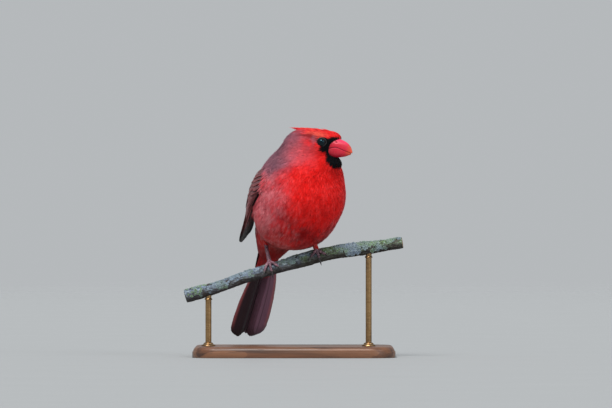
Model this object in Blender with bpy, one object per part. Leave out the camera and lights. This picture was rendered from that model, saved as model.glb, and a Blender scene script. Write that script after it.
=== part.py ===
"""A male northern cardinal, life size, on a cut length of branch that two rods hold over a wooden base.

The bird is drawn in its own frame, in millimetres: forward, left and up from the middle of its grip on
the perch. Its head has a second frame, turned to the left. The matrices BIRD and HEAD carry both into
the scene, in metres, where X runs along the perch, Z is up and the base's underside is at Z = 0.
"""

from math import cos, pi, radians, sin, sqrt

import bmesh
import bpy
import numpy as np
from mathutils import Matrix, Vector

MM = 0.001
GAP = 0.3  # mm, kept between nodes that touch

# The bird's stance, in degrees and millimetres
BODY_TURN = 32.0  # its heading, from straight at the viewer towards the viewer's right
HEAD_TURN = 30.0  # how much further the head looks to the bird's left
HEAD_DROP = 8.0  # the head's axis, below the horizontal
HEAD_CENTRE = (31.0, 5.0, 95.0)
GRIP_HEIGHT = 84.0  # from the floor to the bird frame's origin
GRIP_BEFORE = 14.0  # how far the perch stands before the base's middle, towards the viewer

# The base and its rods, in scene millimetres
BASE_SIZE = (168.0, 120.0, 9.0)
BASE_CORNER, BASE_CORNER_STEPS = 22.0, 7
# Its edge from the underside up: how far in, and how high
BASE_PROFILE = ((0.6, 0.0), (0.0, 0.6), (0.0, 5.0), (0.9, 6.4), (3.2, 7.8), (4.4, 9.0))
ROD_RADIUS = 2.5
ROD_PLACES = (("stand_rod_left", -71.0), ("stand_rod_right", 62.0))
ROD_SUNK = 3.0

# The perch: its centreline's points (X, Y, Z from the grip) and its radius
PERCH_LINE = (
    (-90, 3, -33.8),
    (-62, 1, -25.7),
    (-38, 0, -17),
    (3, 0, -4.8),
    (28, 0, 1.8),
    (63, -1, 6.6),
    (90, -3, 11.0),
)
PERCH_RADIUS = 5.1
PERCH_SWELL, PERCH_SWELL_LENGTH = 0.5, 21.0
PERCH_KNOT, PERCH_KNOT_LENGTH = 0.25, 7.0
PERCH_RINGS, PERCH_SIDES = 20, 14

# The ring planes that the body is measured in: forward, left, up, and the pitch of the plane's normal
SPINE = (
    (-38, 0, 5, 42),
    (-27, 0, 19, 46),
    (-13, 0, 33, 54),
    (1, 0, 46, 62),
    (12, 0, 60, 67),
    (19, 1, 71, 67),
    (25, 3, 82, 62),
)
NECK_FROM, HEAD_FROM = 5.05, 6  # the spine's stations where the neck and the head begin
BODY_SIDES, TORSO_RINGS, NECK_RINGS = 32, 18, 5
BLEND = 3.2  # how softly the forms below run into one another

# Rounded forms of the trunk: centre, radii along, across and deep, and pitch of the long axis
TRUNK_FORMS = (
    ((16, 0, 49), (31, 35.5, 29), 66),  # breast
    ((2, 0, 34.4), (29, 35.0, 28.4), 55),  # belly
    ((3, 0, 63), (24, 28, 22), 60),  # shoulders
    ((-22, 0, 24), (21, 20, 16), 50),  # rump
    ((-33, 0, 9), (15, 11.5, 9), 55),  # vent
    ((20.5, 1, 76), (18, 19.5, 19), 80),  # neck
    ((26, 1, 68), (15, 26, 16), 75),  # throat
)
# The same for the head, in the head's frame
HEAD_FORMS = (
    ((-2.5, 0, -4.0), (15.2, 13.2, 9.6), 0),  # skull
    ((-11.5, 0, -7.0), (14.5, 14.5, 14.0), 0),  # nape
    ((-2.5, 0, -6), (11.0, 12.4, 9.5), 0),  # cheeks
    ((11.2, 0, 3.0), (8.4, 6.4, 6.0), 8),  # brow and lores
    ((12.4, 0, -16.6), (9.8, 6.4, 5.0), 0),  # chin
)

EYE_PLACE = (8.6, 0.4)  # forward and up, in the head's frame
EYE_RADIUS = 3.9
EYE_SHOWN = 3.3  # radius of the part of the eye between the lids
LID_RADIUS = 0.55
LID_SIDES = (16, 5)

# The bill in the head's frame: height of the culmen, the mouth line and the lower edge, and half its width,
# each by its distance forward
CULMEN = ((8, 6.2), (14, 5.2), (20.5, 3.9), (26, 2.2), (29.8, -0.6), (32.2, -4.6))
MOUTH = ((8, -5.6), (13, -4.6), (18.5, -2.9), (21, -3.0), (26, -4.4), (32.2, -6.0))
KEEL = ((8, -12.0), (14, -12.0), (20, -10.9), (25.5, -9.5), (29.5, -7.8), (31.6, -6.9))
BILL_WIDTH = ((8, 7.6), (14, 7.4), (19, 6.2), (24, 4.4), (28.5, 2.4), (32.2, 0.5))
BILL_FROM, BILL_TO, LOWER_TO = 12.2, 32.0, 30.6

# The folded wing's surface: rows from wrist to tip, each from its lower to its upper edge
WING_NET = (
    ((13, 30, 60), (5, 29, 69), (-3, 19, 75)),
    ((-5, 35.5, 45), (-14, 30, 55), (-20, 13, 61)),
    ((-27, 28.5, 26), (-33, 22, 35), (-38, 6, 41)),
    ((-52.5, 19.5, 6.4), (-54.5, 17, 9.4), (-55.5, 12, 12.4)),
)
# How far the lower and the upper corner of its front edge draw back, as shares of its length
ROUND_LOWER, ROUND_UPPER = 0.16, 0.07
# The wing's arm under the coverts: how far it reaches and its height over the wing's surface there
ARM = ((0.0, 3.4), (0.14, 3.8), (0.3, 3.2), (0.5, 2.6))
ARM_EDGE = 0.35  # how much lower it is at its edges, as a share
BED_DEPTH = 24.0  # how far out the wing's room in the trunk reaches
SEAT_LENGTH, SEAT_WIDTH, SEAT_DEPTH = (0.03, 0.47), (0.07, 0.92), 9.0  # the trunk's plumage under the arm
VANE_THICK = 0.55
# A vane's outline: shares of its length and of its width
VANE = ((0, 0.6), (0.3, 0.95), (0.62, 1.0), (0.84, 0.84), (0.95, 0.5), (1, 0.16))
COVERT_VANE = ((0, 0.7), (0.45, 1.0), (0.78, 0.9), (0.93, 0.56), (1, 0.2))
# Rows of the folded wing's feathers. Each row runs from its lowest to its uppermost feather:
# count, roots (s, w) of both end feathers, their tips, heights at root and tip, widths, and tilt
WING_ROWS = {
    "primary": (5, (0.38, 0.08), (0.36, 0.28), (0.95, 0.10), (0.94, 0.86), (1.3, 1.3), (5.6, 5.6), 0.36),
    "secondary": (4, (0.36, 0.35), (0.34, 0.62), (0.90, 0.80), (0.75, 0.92), (1.4, 1.7), (6.2, 6.6), 0.36),
    "tertial": (3, (0.30, 0.70), (0.24, 0.90), (0.71, 0.84), (0.57, 0.93), (1.6, 2.6), (7.4, 8.2), 0.3),
    "outer_covert": (3, (0.28, 0.07), (0.26, 0.21), (0.57, 0.07), (0.53, 0.25), (2.0, 3.5), (4.6, 5.0), 0.26),
    "large_covert": (6, (0.24, 0.28), (0.20, 0.93), (0.53, 0.36), (0.47, 0.93), (2.0, 3.9), (6.4, 6.6), 0.22),
    "middle_covert": (6, (0.13, 0.16), (0.09, 0.92), (0.34, 0.20), (0.31, 0.92), (2.6, 4.6), (6.0, 6.4), 0.2),
    "small_covert": (5, (0.02, 0.12), (0.01, 0.9), (0.20, 0.14), (0.18, 0.9), (2.4, 4.7), (6.4, 6.8), 0.18),
    "alula": (1, (0.15, 0.05), (0.15, 0.05), (0.43, 0.06), (0.43, 0.06), (2.6, 4.5), (4.4, 4.4), 0.2),
}
LONGEST_PRIMARY = 0.05  # how far the middle primaries pass the outer ones, as a share of the wing

TAIL_SLOPE = 59.3  # below the horizontal, backwards
TAIL_LENGTH = 84.0
TAIL_WIDTH = 31.0
TAIL_PAIRS = 6
TAIL_STEP = 0.85  # how much lower each pair lies than the one inside it
TAIL_CORE = 22.0  # how far the flesh reaches along the tail
TAIL_CORE_RINGS = ((8, 9.6, 6.4), (15, 8.6, 4.8), (TAIL_CORE, 7.6, 3.4))  # along, half width, half depth
TAIL_VANE = ((0, 0.5), (0.25, 0.72), (0.5, 0.95), (0.8, 1.0), (0.93, 0.84), (0.985, 0.5), (1, 0.2))
TAIL_LEAN = 0.03
TAIL_COVERTS = 7
TAIL_COVERT_WIDTH = 6.4

# The crest's upper line in the head's frame: height by distance forward
CREST_LINE = ((16, 6.0), (8, 7.8), (0, 8.2), (-8, 8.0), (-14, 7.6), (-21, 6.8), (-28, 6.0))
# Its rows: distance forward of the roots, count, spacing across, and length
CREST_ROWS = ((14.0, 2, 4.2, 14), (8.0, 3, 4.8, 17), (1.0, 4, 4.8, 20), (-6.0, 3, 4.8, 20.4))
CREST_WIDTH = 6.4
CREST_RISE = 2.4  # from a feather's root to its tip, over the skull
CREST_VANE = ((0, 0.5), (0.35, 1.0), (0.72, 0.66), (1, 0.12))
NOSTRIL = (18.8, 5.2, 1.6, 0.75)  # forward, aside and up in the head's frame, and radius

# Each foot: X along the perch, and its middle's turn from the perch's top towards the viewer
FEET = (("right", -18.5, 20), ("left", 20.0, 52))
FOOT_HUB = 1.9
TOE_RADIUS = 1.2
CLAW_LENGTH, CLAW_BEND = 6.5, 1.4
# Each toe's drift along the perch, and how far it reaches round it, in degrees from the top
TOES = (("inner", 5.5, 84), ("middle", -0.5, 104), ("outer", -6.0, 90), ("hind", -0.8, -96))
TOE_STEPS, TOE_SIDES = 7, 7
CLAW_RADII = (0.8, 0.72, 0.56, 0.36, 0.12)
SHANK_RADIUS = 1.25
THIGH_RADII = (4.0, 2.2)

SCENE = Matrix.Translation((0, -GRIP_BEFORE * MM, 0)) @ Matrix.Scale(MM, 4)
BIRD = SCENE @ Matrix.Translation((0, 0, GRIP_HEIGHT)) @ Matrix.Rotation(radians(BODY_TURN - 90), 4, "Z")
HEAD_IN_BIRD = (
    Matrix.Translation(HEAD_CENTRE)
    @ Matrix.Rotation(radians(HEAD_TURN), 4, "Z")
    @ Matrix.Rotation(radians(HEAD_DROP), 4, "Y")
)
HEAD = BIRD @ HEAD_IN_BIRD


# Small tools


def material(name, colour, roughness, metallic=0.0):
    """A plain Principled finish."""
    made = bpy.data.materials.new(name)
    made.use_nodes = True
    shader = made.node_tree.nodes["Principled BSDF"]
    shader.inputs["Base Color"].default_value = (*colour, 1)
    shader.inputs["Roughness"].default_value = roughness
    shader.inputs["Metallic"].default_value = metallic
    return made


def add_mesh(name, points, faces, frame, finish=None):
    """A closed mesh object from points in a frame's millimetres, with its faces turned outwards."""
    mesh = bpy.data.meshes.new(name)
    mesh.from_pydata([frame @ Vector(p) for p in points], [], faces)
    shell = bmesh.new()
    shell.from_mesh(mesh)
    bmesh.ops.recalc_face_normals(shell, faces=shell.faces)
    shell.to_mesh(mesh)
    shell.free()
    if finish:
        mesh.materials.append(finish)
    mesh.shade_smooth()
    mesh.set_sharp_from_angle(angle=radians(40))
    made = bpy.data.objects.new(name, mesh)
    bpy.context.scene.collection.objects.link(made)
    return made


def ring_faces(rings, sides):
    """Triangles between neighbouring rings of points and over both end rings, split alike all round."""
    faces = []
    for r in range(rings - 1):
        for s in range(sides):
            a, b = r * sides + s, r * sides + (s + 1) % sides
            faces += [(a, b, b + sides), (a, b + sides, a + sides)]
    last = (rings - 1) * sides
    return faces + [tuple(range(sides))[::-1], tuple(range(last, last + sides))]


def along_curve(knots, t):
    """A point of the smooth curve through knots, where t counts knots."""
    i = min(max(int(t), 0), len(knots) - 2)
    f = t - i
    p1, p2 = np.array(knots[i], float), np.array(knots[i + 1], float)
    p0 = np.array(knots[i - 1], float) if i else 2 * p1 - p2
    p3 = np.array(knots[i + 2], float) if i + 2 < len(knots) else 2 * p2 - p1
    square = 2 * p0 - 5 * p1 + 4 * p2 - p3
    cube = 3 * p1 - p0 - 3 * p2 + p3
    return 0.5 * (2 * p1 + (p2 - p0) * f + square * f**2 + cube * f**3)


def tube(name, path, radii, sides, frame, finish, flat=1.0, side_hint=(0, 0, 1)):
    """A round bar along a path of points, with a radius at each. flat squeezes it along side_hint."""
    path = [Vector(p) for p in path]
    points = []
    hint = Vector(side_hint)
    for i, centre in enumerate(path):
        along = (path[min(i + 1, len(path) - 1)] - path[max(i - 1, 0)]).normalized()
        across = along.cross(hint).normalized()
        deep = across.cross(along)
        hint = deep
        for s in range(sides):
            turn = 2 * pi * s / sides
            points.append(centre + radii[i] * (across * cos(turn) + deep * sin(turn) * flat))
    return add_mesh(name, points, ring_faces(len(path), sides), frame, finish)


def vane(name, place, width, frame, tilt=0.0, shape=VANE):
    """A flat, tapered feather. place(share) gives its middle and outward direction; tilt lifts one edge."""
    points = []
    for share, wide in shape:
        middle, outward = place(share)
        along = (place(min(share + 0.02, 1))[0] - place(max(share - 0.02, 0))[0]).normalized()
        across = along.cross(outward).normalized()
        for edge, face in ((-1, 1), (1, 1), (1, -1), (-1, -1)):
            aside = edge * wide * width / 2
            points.append(middle + across * aside + outward * (face * VANE_THICK / 2 + tilt * aside))
    faces = [(0, 1, 2, 3)[::-1], tuple(4 * len(shape) - 4 + k for k in range(4))]
    for r in range(len(shape) - 1):
        for a, b in ((0, 1), (1, 2), (3, 2), (0, 3)):
            a, b = a + 4 * r, b + 4 * r
            faces += [(a, b, b + 4), (a, b + 4, a + 4)]
    return add_mesh(name, points, faces, frame)


def apply_boolean(body, operation, pieces, solver="EXACT"):
    """Joins pieces to body, or cuts them out of it, by one Boolean on a collection, and removes them."""
    group = bpy.data.collections.new(body.name + "_pieces")
    bpy.context.scene.collection.children.link(group)
    for piece in pieces:
        bpy.context.scene.collection.objects.unlink(piece)
        group.objects.link(piece)
    step = body.modifiers.new(operation.lower(), "BOOLEAN")
    step.operation = operation
    step.solver = solver
    step.operand_type = "COLLECTION"
    step.collection = group
    graph = bpy.context.evaluated_depsgraph_get()
    result = bpy.data.meshes.new_from_object(body.evaluated_get(graph))
    body.modifiers.clear()
    body.data = result
    for piece in pieces:
        bpy.data.objects.remove(piece)
    bpy.data.collections.remove(group)
    keep_largest(body)
    return body


def keep_largest(body):
    """Keeps only the largest closed surface of a mesh."""
    shell = bmesh.new()
    shell.from_mesh(body.data)
    left, shells = set(shell.verts), []
    while left:
        seed = left.pop()
        found, edge = {seed}, [seed]
        while edge:
            for link in edge.pop().link_edges:
                for vert in link.verts:
                    if vert not in found:
                        found.add(vert)
                        edge.append(vert)
        left -= found
        shells.append(found)
    largest = max(shells, key=lambda verts: sum(f.calc_area() for v in verts for f in v.link_faces))
    loose = [v for verts in shells if verts is not largest for v in verts]
    bmesh.ops.delete(shell, geom=loose, context="VERTS")
    shell.to_mesh(body.data)
    shell.free()


# The body's surface


def placed_forms():
    """Every rounded form in the bird's frame: centre, axes and radii."""
    forms = []
    for frame, group in ((Matrix.Identity(4), TRUNK_FORMS), (HEAD_IN_BIRD, HEAD_FORMS)):
        for centre, radii, pitch in group:
            turned = frame @ Matrix.Rotation(radians(-pitch), 4, "Y")
            placed = np.array(frame @ Vector(centre))
            forms.append((placed, np.array(turned.to_3x3()), np.array(radii, float)))
    return forms


FORMS = placed_forms()


def depth_outside(points):
    """How far points of the bird's frame lie outside the blended forms, roughly, in mm."""
    total = 0.0
    for centre, axes, radii in FORMS:
        local = (points - centre) @ axes
        away = (np.linalg.norm(local / radii, axis=1) - 1) * radii.min()
        total = total + np.exp(-away / BLEND)
    return -BLEND * np.log(total)


def surface_along(centre, directions, reach=70.0):
    """Where rays from a point inside the body leave it."""
    near, far = np.zeros(len(directions)), np.full(len(directions), reach)
    for _ in range(26):
        middle = (near + far) / 2
        inside = depth_outside(centre + directions * middle[:, None]) < 0
        near, far = np.where(inside, middle, near), np.where(inside, far, middle)
    return centre + directions * near[:, None]


def ring_on_plane(centre, pitch, yaw):
    """The body's outline in a plane through centre whose normal has this pitch, from the front turned by yaw."""
    front = np.array((sin(radians(pitch)), 0, -cos(radians(pitch))))
    side = np.array((0.0, 1.0, 0.0))
    turns = yaw + 2 * pi * np.arange(BODY_SIDES) / BODY_SIDES
    directions = np.cos(turns)[:, None] * front + np.sin(turns)[:, None] * side
    return surface_along(centre, directions)


def body_ring(station, shift=0.0):
    """The body's outline in the ring plane at a station of the spine, moved along its normal by shift."""
    forward, left, up, pitch = along_curve(SPINE, station)
    normal = np.array((cos(radians(pitch)), 0, sin(radians(pitch))))
    yaw = radians(HEAD_TURN) * min(max((station - NECK_FROM + 0.6) / 1.6, 0), 1)
    return ring_on_plane(np.array((forward, left, up)) + shift * normal, pitch, yaw)


def body_length(name, first, last, rings, finish):
    """One length of the body between two ring planes, half a gap short at each end."""
    stations = np.linspace(first, last, rings)
    shifts = [GAP / 2] + [0] * (rings - 2) + [-GAP / 2]
    points = np.concatenate([body_ring(t, shift) for t, shift in zip(stations, shifts)])
    return add_mesh(name, points, ring_faces(rings, BODY_SIDES), BIRD, finish)


def head_shell(finish, rings=15):
    """The head from the neck's plane to the crown, in rings that level out and close in towards the top."""
    start = np.array(along_curve(SPINE, HEAD_FROM))
    middle = np.array(HEAD_CENTRE)
    crown = surface_along(middle, np.array([(0.0, 0.0, 1.0)]))[0]
    points = [body_ring(HEAD_FROM, GAP / 2)]
    for i in range(1, rings):
        share = i / rings
        up = sin(pi / 2 * share)
        centre = start[:3] * (1 - up) + crown * up
        points.append(ring_on_plane(centre, start[3] + (90 - start[3]) * up, radians(HEAD_TURN)))
    return add_mesh("head", np.concatenate(points), ring_faces(rings, BODY_SIDES), BIRD, finish)


# Eyes, lids and bill


def eye_axis(side):
    """The head's surface point at an eye, and the outward direction there, in the head's frame."""
    ahead, up = EYE_PLACE
    to_bird = HEAD_IN_BIRD.to_3x3()
    centre = HEAD_IN_BIRD @ Vector((ahead, 0, up))
    skin = surface_along(np.array(centre), np.array([to_bird @ Vector((0, side, 0))]))[0]
    return HEAD_IN_BIRD.inverted() @ Vector(skin), Vector((0.5, side, 0.22)).normalized()


def ball(name, centre, radius, frame, finish=None, sides=14, rings=8):
    """A sphere of rings and sides."""
    points = []
    for r in range(1, rings):
        lift = pi * r / rings
        for s in range(sides):
            turn = 2 * pi * s / sides
            spoke = Vector((sin(lift) * cos(turn), sin(lift) * sin(turn), cos(lift)))
            points.append(Vector(centre) + radius * spoke)
    return add_mesh(name, points, ring_faces(rings - 1, sides), frame, finish)


def eye_centre(side):
    """The middle of an eyeball, so deep that its shown part fills the lids."""
    skin, outward = eye_axis(side)
    return skin - outward * sqrt(EYE_RADIUS**2 - EYE_SHOWN**2)


def lid_ring(side):
    """The rim of both lids, a ring round the shown part of the eye."""
    skin, outward = eye_axis(side)
    across = outward.cross(Vector((0, 0, 1))).normalized()
    upward = across.cross(outward)
    points = []
    around, round_bar = LID_SIDES
    for i in range(around):
        turn = 2 * pi * i / around
        spoke = across * cos(turn) + upward * sin(turn)
        for j in range(round_bar):
            tilt = 2 * pi * j / round_bar
            reach = EYE_SHOWN + LID_RADIUS * (0.9 + cos(tilt))
            points.append(skin + spoke * reach + outward * (LID_RADIUS * sin(tilt) - 0.1))
    faces = []
    for i in range(around):
        for j in range(round_bar):
            a, b = i * round_bar + j, i * round_bar + (j + 1) % round_bar
            c, d = (b + round_bar) % len(points), (a + round_bar) % len(points)
            faces += [(a, b, c), (a, c, d)]
    return add_mesh(f"lid_{side}", points, faces, HEAD, None)


def height_at(profile, ahead):
    """A profile's value at a distance forward, on the smooth curve through its points."""
    stations = [p[0] for p in profile]
    t = float(np.interp(ahead, stations, range(len(stations))))
    for _ in range(5):
        i = min(int(t), len(stations) - 2)
        t += (ahead - along_curve(profile, t)[0]) / (stations[i + 1] - stations[i])
    return float(along_curve(profile, t)[1])


def bill_half(name, upper, finish, grow=0.0, rings=12, arc=9):
    """The upper or lower bill, in half-round rings beside the mouth line. grow makes it the head's seat."""
    last = BILL_TO if upper else LOWER_TO
    points = []
    for i in range(rings):
        ahead = BILL_FROM - grow + (last - BILL_FROM + grow) * sin(pi / 2 * i / (rings - 1)) ** 1.15
        sign = 1 if upper else -1
        split = height_at(MOUTH, ahead) + sign * (GAP / 2 - grow)
        crest = height_at(CULMEN if upper else KEEL, ahead) + sign * grow
        deep = max(abs(crest - split), 0.3)
        wide = max(height_at(BILL_WIDTH, ahead) - (0 if upper else 0.25), 0.35) + grow
        for j in range(arc):
            side = cos(pi * j / (arc - 1))
            rise = sin(pi * j / (arc - 1))
            aside = wide * np.sign(side) * abs(side) ** 0.85
            points.append((ahead, aside, split + sign * deep * rise**0.85))
    return add_mesh(name, points, ring_faces(rings, arc), HEAD, finish)


# The wings


def net_point(net, s, w):
    """A point of the surface through a net of four rows by three columns."""
    rows = [along_quadratic(row, w) for row in net]
    return along_cubic(rows, s)


def along_quadratic(three, w):
    a, b, c = (np.array(p, float) for p in three)
    return a * (2 * w - 1) * (w - 1) + b * 4 * w * (1 - w) + c * w * (2 * w - 1)


def along_cubic(four, s):
    """The cubic through four points at shares 0, 1/3, 2/3 and 1."""
    x = 3 * s
    a, b, c, d = four
    return (
        a * (1 - x) * (2 - x) * (3 - x) / 6
        + b * x * (2 - x) * (3 - x) / 2
        - c * x * (1 - x) * (3 - x) / 2
        + d * x * (1 - x) * (2 - x) / 6
    )


def wing_point(s, w, height, side):
    """A point over the folded wing: s from wrist to tip, w from lower to upper edge, height outwards."""
    step = 0.02
    s += (ROUND_LOWER if w < 0.5 else ROUND_UPPER) * (2 * w - 1) ** 2 * max(1 - s, 0) ** 3
    here = net_point(WING_NET, s, w)
    along = net_point(WING_NET, s + step, w) - net_point(WING_NET, s - step, w)
    across = net_point(WING_NET, s, w + step) - net_point(WING_NET, s, w - step)
    normal = np.cross(across, along)
    normal /= np.linalg.norm(normal)
    if normal[1] < 0:
        normal = -normal
    forward, left, up = here + normal * height
    return Vector((forward, side * left, up))


def wing_plate(name, side, finish, s_range, w_range, low, high, s_steps=14, w_steps=6):
    """A plate over part of the wing's surface, between two heights that may depend on (s, w)."""
    points, faces = [], []
    for level in (low, high):
        for i in range(s_steps):
            for j in range(w_steps):
                s = s_range[0] + (s_range[1] - s_range[0]) * i / (s_steps - 1)
                w = w_range[0] + (w_range[1] - w_range[0]) * j / (w_steps - 1)
                points.append(wing_point(s, w, level(s, w), side))
    top = s_steps * w_steps
    for i in range(s_steps - 1):
        for j in range(w_steps - 1):
            a = i * w_steps + j
            for shift, turn in ((0, 1), (top, -1)):
                quad = [a, a + w_steps, a + w_steps + 1, a + 1]
                for tri in (quad[:3], (quad[0], quad[2], quad[3])):
                    faces.append(tuple(k + shift for k in tri)[::turn])
    rim = (
        [j for j in range(w_steps)]
        + [i * w_steps + w_steps - 1 for i in range(1, s_steps)]
        + [(s_steps - 1) * w_steps + j for j in range(w_steps - 2, -1, -1)]
        + [i * w_steps for i in range(s_steps - 2, 0, -1)]
    )
    for a, b in zip(rim, rim[1:] + rim[:1]):
        faces += [(a, b, b + top), (a, b + top, a + top)]
    return add_mesh(name, points, faces, BIRD, finish)


def wing_bed(side):
    """The room that a folded wing takes out of the trunk."""
    low, high = (lambda s, w: -GAP), (lambda s, w: BED_DEPTH)
    return wing_plate(f"bed_{side}", side, None, (-0.03, 1.04), (-0.04, 1.04), low, high, 10, 5)


def wing_seat(side):
    """The plumage of the trunk that fills the room under a wing's arm."""
    low, high = (lambda s, w: -SEAT_DEPTH), (lambda s, w: -GAP)
    return wing_plate(f"seat_{side}", side, None, SEAT_LENGTH, SEAT_WIDTH, low, high, 4, 4)


def blend_between(first, last, share):
    """The tuple that lies this share of the way from one tuple to another."""
    return tuple(a + (b - a) * share for a, b in zip(first, last))


def wing_row(row, side):
    """The vanes of one row of a wing, each lying over the one below it."""
    count, root_low, root_high, tip_low, tip_high, heights, widths, tilt = WING_ROWS[row]
    vanes = []
    for k in range(count):
        share = k / max(count - 1, 1)
        root = blend_between(root_low, root_high, share)
        tip = blend_between(tip_low, tip_high, share)
        if row == "primary":
            tip = (tip[0] + LONGEST_PRIMARY * sin(pi * share), tip[1])

        def place(t, root=root, tip=tip):
            s, w = blend_between(root, tip, t)
            height = heights[0] + (heights[1] - heights[0]) * min(t * 1.6, 1)
            outward = wing_point(s, w, 1, side) - wing_point(s, w, 0, side)
            return wing_point(s, w, height, side), outward.normalized()

        width = widths[0] + (widths[1] - widths[0]) * share
        shape = COVERT_VANE if "covert" in row else VANE
        vanes.append(vane(f"{row}_{k}", place, width, BIRD, tilt * side, shape))
    return vanes


def wing(name, side, finish):
    """A folded wing: its arm, and the rows of vanes that grow out of it."""
    shares, heights = zip(*ARM)

    def arm_height(s, w):
        edge = 1 - abs(2 * w - 1) ** 6 * ARM_EDGE
        return float(np.interp(s, shares, heights)) * edge

    body = wing_plate(name, side, finish, (0, shares[-1]), (0.02, 0.97), lambda s, w: 0.0, arm_height, 8, 6)
    vanes = [piece for row in WING_ROWS for piece in wing_row(row, side)]
    return apply_boolean(body, "UNION", vanes)


# The tail


def tail_point(along, left, dorsal):
    """A point of the tail's frame, in the bird's: along it, to the left, and towards its upper side."""
    forward, _, up, _ = SPINE[0]
    back, down = cos(radians(TAIL_SLOPE)), sin(radians(TAIL_SLOPE))
    return Vector((forward - along * back - dorsal * down, left, up - along * down + dorsal * back))


def tail_place(rows):
    """A place function through rows of (along, left, dorsal)."""

    def place(share):
        at = share * (len(rows) - 1)
        along, left, dorsal = along_curve(rows, at)
        return tail_point(along, left, dorsal), (tail_point(0, 0, 1) - tail_point(0, 0, 0))
    return place


def rectrix(pair, side):
    """One long tail feather. Pairs count outwards from the middle, and each lies under the one before."""
    half = TAIL_WIDTH / 2
    outer = half * (0.46 + 0.54 * pair / (TAIL_PAIRS - 1))
    inner = -2.0 if pair == 0 else 0.5 + 0.35 * pair
    middle, width = side * (outer + inner) / 2, outer - inner
    level = TAIL_STEP * (0.5 - pair) + (TAIL_STEP / 2 if pair == 0 and side > 0 else 0)
    length = TAIL_LENGTH - 0.5 * abs(pair - 2) ** 1.6
    rows = (
        (TAIL_CORE * 0.4, middle * 0.45, level * 0.8 + 1.0),
        (TAIL_CORE * 1.5, middle * 0.86, level + 0.6),
        (length * 0.75, middle, level),
        (length, middle * 0.98, level - 0.4),
    )
    return vane(f"rectrix_{pair}_{side}", tail_place(rows), width, BIRD, -TAIL_LEAN * side, TAIL_VANE)


def tail_covert(k, face):
    """A short feather over or under the tail's root: face is 1 above the tail and -1 under it."""
    share = k / (TAIL_COVERTS - 1) * 2 - 1
    reach = (34 if face < 0 else 30) - 9 * abs(share)
    lift = 3.4 if face < 0 else 2.2
    rows = (
        (3.8, share * 6.2, face * (5.4 - 2.2 * share**2) - 1.0),
        (reach * 0.5, share * 8.0, face * (lift + 1.9 - 1.6 * share**2) - 0.6),
        (reach, share * 7.4, face * (lift - 0.5 * share**2) - 0.6),
    )
    return vane(f"covert_{face}_{k}", tail_place(rows), TAIL_COVERT_WIDTH, BIRD, 0.0, COVERT_VANE)


def tail(finish):
    """The tail: its flesh, six pairs of long feathers, and the short ones over and under their roots."""
    points = [Vector(p) for p in body_ring(0, -GAP / 2)]
    for along, wide, thick in TAIL_CORE_RINGS:
        for s in range(BODY_SIDES):
            turn = 2 * pi * s / BODY_SIDES
            points.append(tail_point(along, wide * sin(turn), -thick * cos(turn) - 0.6))
    body = add_mesh("tail", points, ring_faces(len(TAIL_CORE_RINGS) + 1, BODY_SIDES), BIRD, finish)
    long_ones = [rectrix(pair, side) for pair in range(TAIL_PAIRS) for side in (1, -1)]
    short_ones = [tail_covert(k, face) for k in range(TAIL_COVERTS) for face in (1, -1)]
    return apply_boolean(body, "UNION", long_ones + short_ones)


# The crest


def crown_height(x, y):
    """The height of the skull's upper side, in the head's frame, or a low one behind it."""
    start = HEAD_IN_BIRD @ Vector((x, y, -3))
    up = HEAD_IN_BIRD.to_3x3() @ Vector((0, 0, 1))
    top = HEAD_IN_BIRD.inverted() @ Vector(surface_along(np.array(start), np.array([up]))[0])
    return top.z


def crest_feathers():
    """The laid crest's feathers, in rows from the forehead back, each row over the roots of the next."""
    feathers = []
    for row, (ahead, count, spacing, length) in enumerate(CREST_ROWS):
        for c in range(count):
            aside = (c - (count - 1) / 2) * spacing
            reach = length * (1 - 0.05 * abs(aside))

            def place(share, ahead=ahead, aside=aside, reach=reach):
                x = ahead - reach * share
                y = aside * (1 - 0.75 * share**1.5)
                z = max(crown_height(x, y), height_at(CREST_LINE[::-1], x) - y**2 / 22)
                return Vector((x, y, z + CREST_RISE * (share - 0.4))), Vector((0, y / 11, 1)).normalized()

            lean = 0.05 if aside > 0 else -0.05
            feathers.append(vane(f"crest_{row}_{c}", place, CREST_WIDTH, HEAD, lean, CREST_VANE))
    return feathers


# The perch, the legs and the feet


def perch_line(x):
    """The perch's centre at an X of the scene, in mm above the grip."""
    xs = [p[0] for p in PERCH_LINE]
    t = float(np.interp(x, xs, range(len(xs))))
    mean_step = (xs[-1] - xs[0]) / len(xs)
    for _ in range(8):
        t += (x - along_curve(PERCH_LINE, t)[0]) / (1.3 * mean_step)
    return along_curve(PERCH_LINE, t)


def perch_girth(x):
    """The perch's radius at an X of the scene: a slow swell and smaller knots."""
    swell = PERCH_SWELL * sin(x / PERCH_SWELL_LENGTH + 0.6)
    return PERCH_RADIUS + swell + PERCH_KNOT * sin(x / PERCH_KNOT_LENGTH)


def build_perch(finish):
    """The cut length of branch, with blind holes for the rods in its underside."""
    path, radii = [], []
    for x in np.linspace(PERCH_LINE[0][0], PERCH_LINE[-1][0], PERCH_RINGS):
        path.append(Vector(perch_line(x)) + Vector((0, 0, GRIP_HEIGHT)))
        radii.append(perch_girth(x))
    perch = tube("stand_perch", path, radii, PERCH_SIDES, SCENE, finish)
    holes = [rod_bar(f"hole_{x}", x, ROD_RADIUS + GAP, extra=GAP) for _, x in ROD_PLACES]
    return apply_boolean(perch, "DIFFERENCE", holes)


def rod_bar(name, x, radius, finish=None, extra=0.0):
    """A rod from inside the base to inside the perch."""
    _, y, z = perch_line(x)
    low = BASE_SIZE[2] - ROD_SUNK - extra
    high = GRIP_HEIGHT + z - perch_girth(x) + ROD_SUNK + extra
    path = [(x, y, low), (x, y, (low + high) / 2), (x, y, high)]
    return tube(name, path, [radius] * 3, 16, SCENE, finish, side_hint=(0, 1, 0))


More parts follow.
